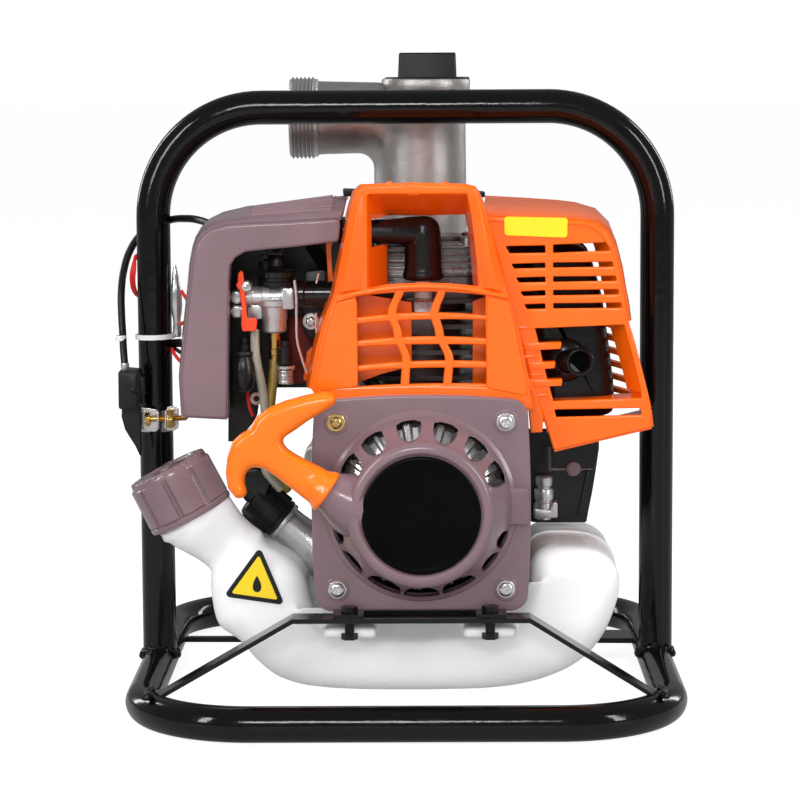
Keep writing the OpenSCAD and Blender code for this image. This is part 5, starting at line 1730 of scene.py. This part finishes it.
def stop_wire():
    tube("stop_wire", [(-82.3, -70, 177.2), (-84.8, -72, 172.9), (-84.6, -72, 166.6),
                       (-82.5, -70, 159.3)], 0.95, "wire_red", steps=8, facets=3)
    ring = [(1.6, -0.5), (3.4, -0.5), (3.5, 0), (3.4, 0.5), (1.6, 0.5)]
    finish(lathe("earth_ring", ring, (-80.4, -72, 168.8), (0.1, -1, 0), sides=32,
                 capped=False), "zinc_steel")


airbox()
choke()
carb_body()
carb_bowl()
carb_cap()
carb_adjusters()
primer_bulb()
fuel_lines()
inlet()
stop_wire()


# ------------------------------------------------------------------ left leg of the hoop
def throttle_control():
    tube("throttle_cable", [(-156.5, -21, 179.7), (-157.5, -18, 188.8), (-158.4, -13, 198.7),
                            (-159.4, -8, 210.2), (-159.8, -3, 222.0), (-158.8, 4, 233.6),
                            (-155.8, 9, 243.7), (-150.2, 13, 252.2), (-142.8, 13, 258.2),
                            (-133.4, 6, 261.0), (-122.2, -14, 263.0), (-112.6, -34, 263.1),
                            (-104.8, -48, 261.5)], 2.1, "cable_sheath", steps=12)
    box = block("case", [(-159.5, 179.9), (-148.1, 178.9), (-148.3, 158.1), (-159.6, 158.1)],
                -31, -9, edge=0.9, steps=3, corner=1.6, corner_steps=4)
    rim = block("case_rim", [(-158.5, 178.6), (-149.2, 177.7), (-149.3, 159.2),
                             (-158.5, 159.2)],
                -31.7, -30.4, edge=0.35, corner=1.4, corner_steps=4)
    lug = block("case_lug", [(-149.6, 176.6), (-146.2, 174.8), (-145.8, 165.4),
                             (-149.8, 160.2)],
                -22, -9, edge=0.8, corner=1.5)
    finish(join("throttle_case", [box, rim, lug]), "black_moulding", replaces="throttle_box")
    ferrule = [(1.0, 0), (2.2, 0.1), (2.4, 0.6), (2.4, 3.4), (2.2, 4.0), (1.0, 4.2)]
    finish(lathe("cable_ferrule", ferrule, (-156.5, -21, 179.0), (-0.05, 0, 1), sides=32),
           "zinc_steel")


def leg_wiring():
    for k, gap in enumerate((0, 2.0)):
        tube("stop_loop_%d" % k,
             [(-149.1, 10, 241.9), (-151.5 - gap * 0.4, 3, 240.5),
              (-153.6 + gap * 0.7, -2, 234.7), (-154.2 + gap * 0.7, -2, 227.8),
              (-153.2 + gap * 0.5, 2, 221.0), (-149.9, 10, 216.6)],
             0.95, "wire_red", steps=8, facets=3)
    top, bottom = Vector((-129.4, -3, 236.5)), Vector((-128.6, -3, 195.7))
    length = (bottom - top).length
    profile = [(0.4, 0), (0.8, 1), (1.5, 4), (2.0, 7), (2.2, 10), (2.9, 13), (3.3, 16),
               (3.4, 23), (3.0, 27), (2.3, 30), (2.1, 33), (2.5, 36), (2.4, length - 1),
               (1.8, length)]
    finish(lathe("crimp_sleeve", profile, top, bottom - top, sides=40), "clear_sleeve",
           smooth=40)
    coil_wires = [
        [(-126.0, -3, 221.7), (-123.3, -8, 218.4), (-119.0, -13, 212.0)],
        [(-127.6, -3, 202.6), (-124.4, -8, 204.4), (-119.0, -13, 207.0)],
        [(-132.0, -3, 189.2), (-129.3, -8, 185.5), (-123.5, -13, 179.8)]]
    for k, points in enumerate(coil_wires):
        tube("coil_wire_%d" % k, points, 1.0, "wire_red", steps=8, facets=3)
    tube("coil_wire_black", [(-132.9, 2, 191.4), (-128.2, -2, 192.2), (-120.8, -10, 192.4)],
         2.4, "cable_sheath", steps=8)
    tube("coil_wire_thin", [(-131.2, 0, 189.2), (-126.5, -3, 186.6), (-120.9, -10, 183.3)],
         1.1, "cable_sheath", steps=8)


def crest_tabs():
    """Small tabs behind the top corners of the shroud."""
    tabs = {"crest_tab_l": [(-33.1, 281.5), (-26.1, 281.1), (-26.1, 277.2), (-32.7, 277.3)],
            "crest_tab_r": [(38.8, 279.9), (43.6, 279.3), (43.6, 276.4), (39.1, 276.4)]}
    for name, points in tabs.items():
        finish(block(name, points, -64, -56, edge=0.4, corner=0.5, corner_steps=2),
               "black_moulding", smooth=35)


def cable_tie():
    """Flat band round the leg, with its head at the front left."""
    z = 196.0
    rings = []
    for k in range(25):
        angle = math.radians(-15 * (k % 24))
        x, y = -HOOP_LEG_X + 10.1 * math.cos(angle), 10.1 * math.sin(angle)
        tilt = 1.6 * math.sin((x + 141) / 21) * 0.3
        rings.append([(x, y, z - 1.35 + tilt), (x, y, z + 1.35 + tilt)])
    band = sheet("tie_band", rings, 1.1, offset=1)
    profile = [(2.2, -1.5), (3.0, -1.4), (3.1, 0), (3.0, 1.4), (2.2, 1.5)]
    head = lathe("tie_head", profile, (-159.4, -14.4, z + 0.4), UP, sides=32, capped=False)
    finish(join("cable_tie_band", [band, head]), "cable_tie", smooth=40)


def leg_clamp():
    """Strap round the leg with two plates in front, drawn together by a bolt."""
    rings = []
    for k in range(31):
        angle = math.radians(250 - 320 * k / 30)
        x, y = -HOOP_LEG_X + 10.3 * math.cos(angle), 10.3 * math.sin(angle)
        rings.append([(x, y, 142.6), (x, y, 154.6)])
    left = [(-151.7, 157.9), (-145.3, 157.1), (-140.2, 156.2), (-138.6, 154.5),
            (-138.7, 145.5), (-140.4, 143.5), (-144.9, 143.5), (-150.2, 145.5)]
    right = [(-134.9, 155.1), (-133.5, 157.7), (-130.6, 158.1), (-127.6, 156.5),
             (-127.7, 145.4), (-130.3, 144.0), (-133.7, 144.0), (-135.0, 146.0)]
    parts = [sheet("clamp_band", rings, 1.5),
             panel("clamp_left", left, -15.8, -14.2, edge=0.35, corner=1.2),
             panel("clamp_right", right, -15.8, -14.2, edge=0.35, corner=1.4)]
    # lips turned forward: (x, z) outline, front, back
    for points, front, back in (
            ([(-139.3, 155.6), (-138.3, 154.8), (-138.4, 145.7), (-139.4, 144.6)], -20.5, -14.4),
            ([(-134.8, 155.3), (-133.8, 157.0), (-134.0, 144.9), (-135.0, 146.3)], -20.5, -14.4),
            ([(-152.2, 157.9), (-151.0, 158.0), (-149.9, 150.9), (-150.9, 150.9)], -18.5, -10.0)):
        parts.append(block("clamp_lip", points, front, back, edge=0.25, corner=0.3,
                           corner_steps=2))
    # webs back to the leg
    for points, back in (
            ([(-151.2, 156.5), (-146.1, 155.9), (-146.3, 144.6), (-150.2, 145.7)], -7),
            ([(-132.6, 156.4), (-128.1, 155.2), (-128.3, 145.6), (-132.8, 144.5)], -6)):
        parts.append(prism("clamp_web", rounded(points, 0.4, 2), -14.6, back))
    finish(join("leg_clamp_strap", parts), "zinc_steel", smooth=35, replaces="leg_clamp")


def clamp_bolt():
    start, end = Vector((-143.4, -18, 151.1)), Vector((-121.9, -18, 151.7))
    axis = end - start
    pitch = 0.42
    head = lathe("bolt_head", [(0.3, -3.0), (2.6, -2.9), (3.8, -2.2), (4.0, -1.4), (4.0, 0)],
                 start, axis, sides=32)
    profile = [(1.7, -0.5), (1.7, 5), (1.4, 5.2)]
    profile += [(1.75 if k % 2 else 1.35, 5.2 + pitch * k)
                for k in range(int((axis.length - 6) / pitch))]
    profile.append((0.3, axis.length))
    shank = lathe("bolt_shank", profile, start, axis, sides=24)
    finish(join("clamp_bolt", [head, shank]), "brass", smooth=25)
    nut = lathe("clamp_nut", [(5.4, 0), (5.8, 0.4), (5.8, 3.4), (5.4, 3.9), (2.0, 3.95)],
                (-133.7, -18, 151.3), axis, sides=6)
    finish(bevel(nut, 0.3, angle=25), "brass", smooth=25)


def throttle_screw_and_blade():
    x, z = -150.7, 168.6
    screw = lathe("box_screw", [(0.3, 1.2), (1.3, 1.15), (2.1, 0.7), (2.3, 0.0), (2.3, -1)],
                  (x, -31.2, z), FRONT, sides=32)
    slot = prism("screw_slot", [(-6, -0.4), (6, -0.4), (6, 0.4), (-6, 0.4)], -33.4, -31.9)
    slot.data.transform(Matrix.Translation((x * MM, 0, z * MM))
                        @ Matrix.Rotation(math.radians(-35), 4, "Y"))
    finish(cut(screw, [slot]), "black_oxide")
    blade = [(-158.4, 160.9), (-148.1, 160.8), (-147.9, 153.1), (-147.9, 145.3),
             (-147.8, 137.5), (-148.1, 130.6), (-149.1, 131.3), (-151.5, 136.7),
             (-154.2, 141.0), (-157.0, 145.8), (-158.9, 153.1)]
    finish(panel("throttle_blade", blade, -23.5, -20.5, edge=0.8, steps=3, corner=0.8),
           "black_moulding", "lever", smooth=35, replaces="throttle_lever")


throttle_control()
leg_wiring()
crest_tabs()
cable_tie()
leg_clamp()
clamp_bolt()
throttle_screw_and_blade()


# ------------------------------------------------------------------ low on the right
def side_bracket():
    plate = [(68.2, 145.3), (80.2, 145.2), (82.7, 134.6), (107.6, 141.6), (107.9, 134.5),
             (106.2, 122.4), (104.2, 109.8), (102.2, 99.7), (100.9, 92.2), (69.7, 92.4)]
    finish(panel("side_plate_visual", plate, -23.5, -20.5, edge=0.8, corner=1.2),
           "black_moulding", smooth=35, replaces="side_bracket")
    boss = [(4.1, -2), (4.2, 1.4), (3.9, 2.0), (3.2, 2.3), (0.3, 2.3)]
    finish(lathe("bracket_boss", boss, (93.4, -23.0, 122.7), FRONT), "taupe_moulding")
    ridge = [(80.1, 123.2), (89.6, 123.0), (89.6, 122.1), (98.1, 122.1), (98.1, 123.0),
             (104.2, 122.9), (104.2, 122.2), (80.1, 122.0)]
    finish(panel("bracket_ridge", ridge, -24.6, -23.2, edge=0.3, steps=1), "taupe_moulding",
           smooth=35)
    rib = [(100.3, 121.3), (98.6, 111.7), (95.6, 96.5), (98.1, 96.5), (100.8, 110.7),
           (102.3, 121.2)]
    finish(panel("bracket_rib", rib, -24.6, -23.2, edge=0.5), "black_moulding", smooth=35)


def side_fitting():
    profile = [(0.3, 95.5), (4.0, 95.6), (4.0, 98.5), (5.4, 100), (5.8, 102.0), (5.4, 105.0),
               (4.4, 106.0), (5.2, 106.8), (5.4, 108), (5.4, 112.0), (5.0, 112.8),
               (3.6, 113.2), (3.6, 114.0), (4.6, 114.6), (4.8, 116), (4.8, 119), (4.0, 119.9),
               (0.3, 120)]
    finish(lathe("side_fitting", profile, (76.8, -31, 0), UP), "fine_cast_aluminium")
    foot = [(71.0, 102.5), (79.9, 101.4), (81.9, 105.8), (84.1, 105.8), (84.1, 97.4),
            (71.0, 96.9)]
    finish(block("fitting_foot", foot, -38, -26, edge=0.6, corner=0.8),
           "fine_cast_aluminium")
    tube("side_stay", [(78.7, -40, 137.2), (78.9, -40, 131.2), (79.0, -40, 123.9)], 1.5,
         "grey_black_casting", facets=3)


side_bracket()
side_fitting()


# ------------------------------------------------------------------ weld beads of the frame
def hoop_weld(side):
    """Saddle-shaped bead where a leg of the hoop meets the base tube."""
    name = "weld_hoop_%d" % (side + 1)
    draw = random.Random(name)
    centre = Vector((HOOP_LEG_X * side, 0, 9.5))
    points, radii = [], []
    for k in range(64):
        angle = math.radians(360 * k / 64)
        ring = 9.9 + draw.uniform(-0.35, 0.35)
        sag = 1 - math.sqrt(max(0.03, 1 - math.cos(angle) ** 2))
        height = 9.0 - 9.5 * sag * 0.75 + draw.uniform(-0.2, 0.2)
        points.append(centre + Vector((ring * math.cos(angle), ring * math.sin(angle), height)))
        radii.append(1 + 0.3 * math.sin(k * 1.9) + draw.uniform(-0.15, 0.15))
    tube(name, points, 1.8, "gloss_black_paint", closed=True, kind="POLY", radii=radii,
         facets=3)


def strap_welds():
    y = -128
    for k, side in enumerate((-1, 1)):
        x = 136 * side
        points = [(x + side * 2.0, y - 8.5, 18.6), (x - side, y - 9.0, 19.4),
                  (x + side * 0.5, y, 19.6), (x - side, y + 8.5, 19.2),
                  (x + side * 2.0, y + 9, 18.2)]
        tube("weld_strap_%d" % k, points, 1.8, "gloss_black_paint", steps=8,
             radii=[0.8, 1.15, 0.9, 1.2, 0.8], facets=3)
    y = 57.5
    for k, x in enumerate((-134.5, 134.5)):
        points = [(x, y - 13, 12.6), (x, y - 6, 13.2), (x, y, 12.8), (x, y + 6, 13.2),
                  (x, y + 13, 12.6)]
        tube("weld_rear_%d" % k, points, 1.5, "gloss_black_paint", steps=8,
             radii=[0.8, 1.2, 0.9, 1.2, 0.8], facets=3)


hoop_weld(-1)
hoop_weld(1)
strap_welds()


# ------------------------------------------------------------------ intake block, muffler, head
def intake_block():
    points = [(-35.7, 265.2), (-24.8, 265.2), (-20.4, 253.0), (-20.6, 224.9), (-38.5, 224.9),
              (-39.6, 249.3)]
    finish(block("intake_block", points, -66, -40, edge=1.2, corner=2), "black_moulding",
           smooth=35)


def muffler_shell():
    """Pressed shell in two halves, with a lip round the joint."""
    outline = [(55.1, 254.1), (76.0, 253.5), (96.8, 251.1), (100.0, 244.2), (102.3, 235.6),
               (104.6, 228.0), (106.4, 218.4), (107.9, 206.8), (110.5, 192.3),
               (112.6, 175.9), (112.9, 160.3), (82.4, 152.7), (74.1, 154.0), (70.9, 177.1),
               (65.2, 210.3), (60.8, 228.2), (57.2, 240.9)]
    shell = pillow("shell", outline, -81, -30, 9, steps=5, rounds=2)
    lip = pillow("shell_lip", outline, -57.2, -55.4, 0.8, steps=2, rounds=2)
    centre_x = sum(x for x, _ in outline) / len(outline)
    centre_z = sum(z for _, z in outline) / len(outline)
    for vertex in lip.data.vertices:
        out = Vector((vertex.co.x / MM - centre_x, 0, vertex.co.z / MM - centre_z))
        out.normalize()
        vertex.co.x += out.x * 1.4 * MM
        vertex.co.z += out.z * 1.4 * MM
    finish(join("muffler_shell", [shell, lip]), "heat_paint", smooth=40, replaces="muffler")


def tail_pipe():
    """Round flange and the short pipe curving out of it to the right."""
    flange = [(11.5, -3), (12.0, -1.0), (11.6, 2.2), (10.2, 3.6), (8.0, 4.2), (6.5, 5.0),
              (0.3, 5.2)]
    finish(lathe("tail_flange", flange, (85.9, -80.5, 190.1), FRONT, sides=64), "heat_paint",
           smooth=40)
    tube("tail_pipe", [(85.9, -80, 190.1), (86.9, -84.5, 189.7), (90.9, -87.0, 189.3),
                       (91.7, -88.6, 190.0)], 6.6, "heat_paint", kind="NURBS", steps=12)
    axis = (0.08, -1, 0)
    ring = [(5.3, -4), (6.9, -4), (7.6, -2.0), (7.8, 1.6), (7.3, 2.6), (6.3, 2.8),
            (5.5, 2.0), (5.3, -3.9)]
    finish(lathe("tail_ring", ring, (93.2, -90.5, 190.0), axis, sides=64, capped=False),
           "heat_paint", smooth=40, replaces="exhaust_tube")
    # near-black dish closing the pipe mouth: soot, and painted shade for the depth of the bore
    bore = [(5.6, -0.6), (5.5, 0), (3.0, -0.3), (0.3, -0.5)]
    finish(lathe("tail_bore", bore, (93.2, -90.2, 190.0), axis, sides=40), "soot_and_painted_shade",
           smooth=40)


def slab(name, x_range, y_range, z_range, corner):
    """Level plate filling the given ranges from their lower ends."""
    (left, right), (front, back), (bottom, top) = x_range, y_range, z_range
    plate = panel(name, [(left, front), (right, front), (right, back), (left, back)],
                  0, top - bottom, edge=0.35, corner=corner, corner_steps=5)
    plate.data.transform(Matrix.Rotation(math.pi / 2, 4, "X"))
    low = [min(vertex.co[i] for vertex in plate.data.vertices) for i in range(3)]
    plate.data.transform(Matrix.Translation((left * MM - low[0], front * MM - low[1],
                                             bottom * MM - low[2])))
    return plate


def cylinder_head():
    """Thin fins, a cap and its bolts in place of the rocker cover."""
    low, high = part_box("rocker_cover")
    x0, x1 = low[0] * 1000 - HOOP_X, high[0] * 1000 - HOOP_X
    y0, y1 = low[1] * 1000, high[1] * 1000
    z0, z1 = low[2] * 1000, high[2] * 1000
    core = [(x0 + 4, z0 - 0.2), (x1 - 4, z0 - 0.2), (x1 - 4, z0 + 19), (x0 + 4, z0 + 19)]
    parts = [prism("head_core", rounded(core, 1, 2), y0 + 4, y1 - 4)]
    for k in range(5):
        parts.append(slab("fin", (x0 - 0.5, x1 + 0.5), (y0 - 0.5, y1 + 0.5),
                          (z0 + 0.6 + 3.7 * k, z0 + 2.0 + 3.7 * k), corner=4))
    finish(join("head_fins", parts), "head_fin_alloy", replaces="rocker_cover")
    finish(slab("head_cap", (x0 + 7, x1 - 7), (y0 + 6, y1 - 6),
                (z0 + 19, max(z0 + 21.5, z1 - 1.5)), corner=6), "dark_grey_alloy")
    bolt = [(2.2, 0), (4.6, 0), (4.7, 0.8), (3.6, 1.2), (3.6, 4.6), (3.0, 5.2), (1.8, 5.2),
            (1.6, 3.4), (0.2, 3.4)]
    seats = [(x, y, z0 + 16.6) for y in (y0 + 4.5, y1 - 4.5) for x in (x0 + 4.5, x1 - 4.5)]
    for k, seat in enumerate(seats):
        finish(lathe("head_bolt_%d" % k, bolt, seat, UP, sides=32), "zinc_steel")


intake_block()
muffler_shell()
tail_pipe()
cylinder_head()


# ------------------------------------------------------------------ priming plug
def priming_plug():
    left, right, bottom = -4.1, 29.7, 339.2
    top_left, top_right, top = -3.4, 29.2, 354.1
    low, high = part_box("priming_plug")
    y = (low[1] + high[1]) * 500.0
    half_depth = (right - left) / 2 * 0.62

    def ring(x0, x1, half, z):
        corners = [(x0, y - half), (x1, y - half), (x1, y + half), (x0, y + half)]
        return [(point[0], point[1], z) for point in rounded(corners, 1.6, 4)]

    head = loft("plug_head", [ring(left, right, half_depth, bottom),
                              ring(top_left, top_right, half_depth - 0.8, top - 0.8),
                              ring(top_left + 0.6, top_right - 0.6, half_depth - 1.4, top)],
                closed=True)
    mouth = [(left + 5, y - half_depth + 3), (right - 5, y - half_depth + 3),
             (right - 5, y + half_depth - 3), (left + 5, y + half_depth - 3)]
    dish = prism("plug_dish", rounded(mouth, 1.4, 3), 0, 5)
    # swapping y and z lays the prism flat but turns its faces inside out
    swap = Matrix(((1, 0, 0, 0), (0, 0, 1, 0), (0, 1, 0, 0), (0, 0, 0, 1)))
    dish.data.transform(Matrix.Translation((0, 0, (top - 3.0) * MM)) @ swap)
    recalc_normals(dish)
    cut(head, [dish])
    axis_foot = ((left + right) / 2, y, 0)
    lip = lathe("plug_lip", [(12, bottom - 1.0), (23.6, bottom - 1.0), (24.4, bottom - 0.5),
                             (24.4, bottom + 0.4), (23.8, bottom + 0.9), (12, bottom + 1.0)],
                axis_foot, UP, sides=96)
    profile = [(0.3, bottom - 16), (14.8, bottom - 16), (15.6, bottom - 15)]
    profile += [(15.8 if k % 2 else 14.9, bottom - 14.6 + 0.9 * k) for k in range(14)]
    profile.append((15.0, bottom - 0.5))
    skirt = lathe("plug_skirt", profile, axis_foot, UP, sides=64)
    finish(join("priming_plug_moulding", [head, lip, skirt]), "black_moulding", "prime_plug",
           smooth=28, replaces="priming_plug")


priming_plug()


# ------------------------------------------------------------------ starter rope
def starter_rope():
    """Stretches between the nozzle, on the frame, and the pull handle."""
    start, end = Vector((-33.5, -134.0, 124.0)), Vector((-50.0, -141.0, 135.0))
    rope = rod("starter_rope", [tuple(start + (end - start) * k / 12) for k in range(13)], 1.7)
    dress(rope, "starter_rope")
    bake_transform(rope)


starter_rope()
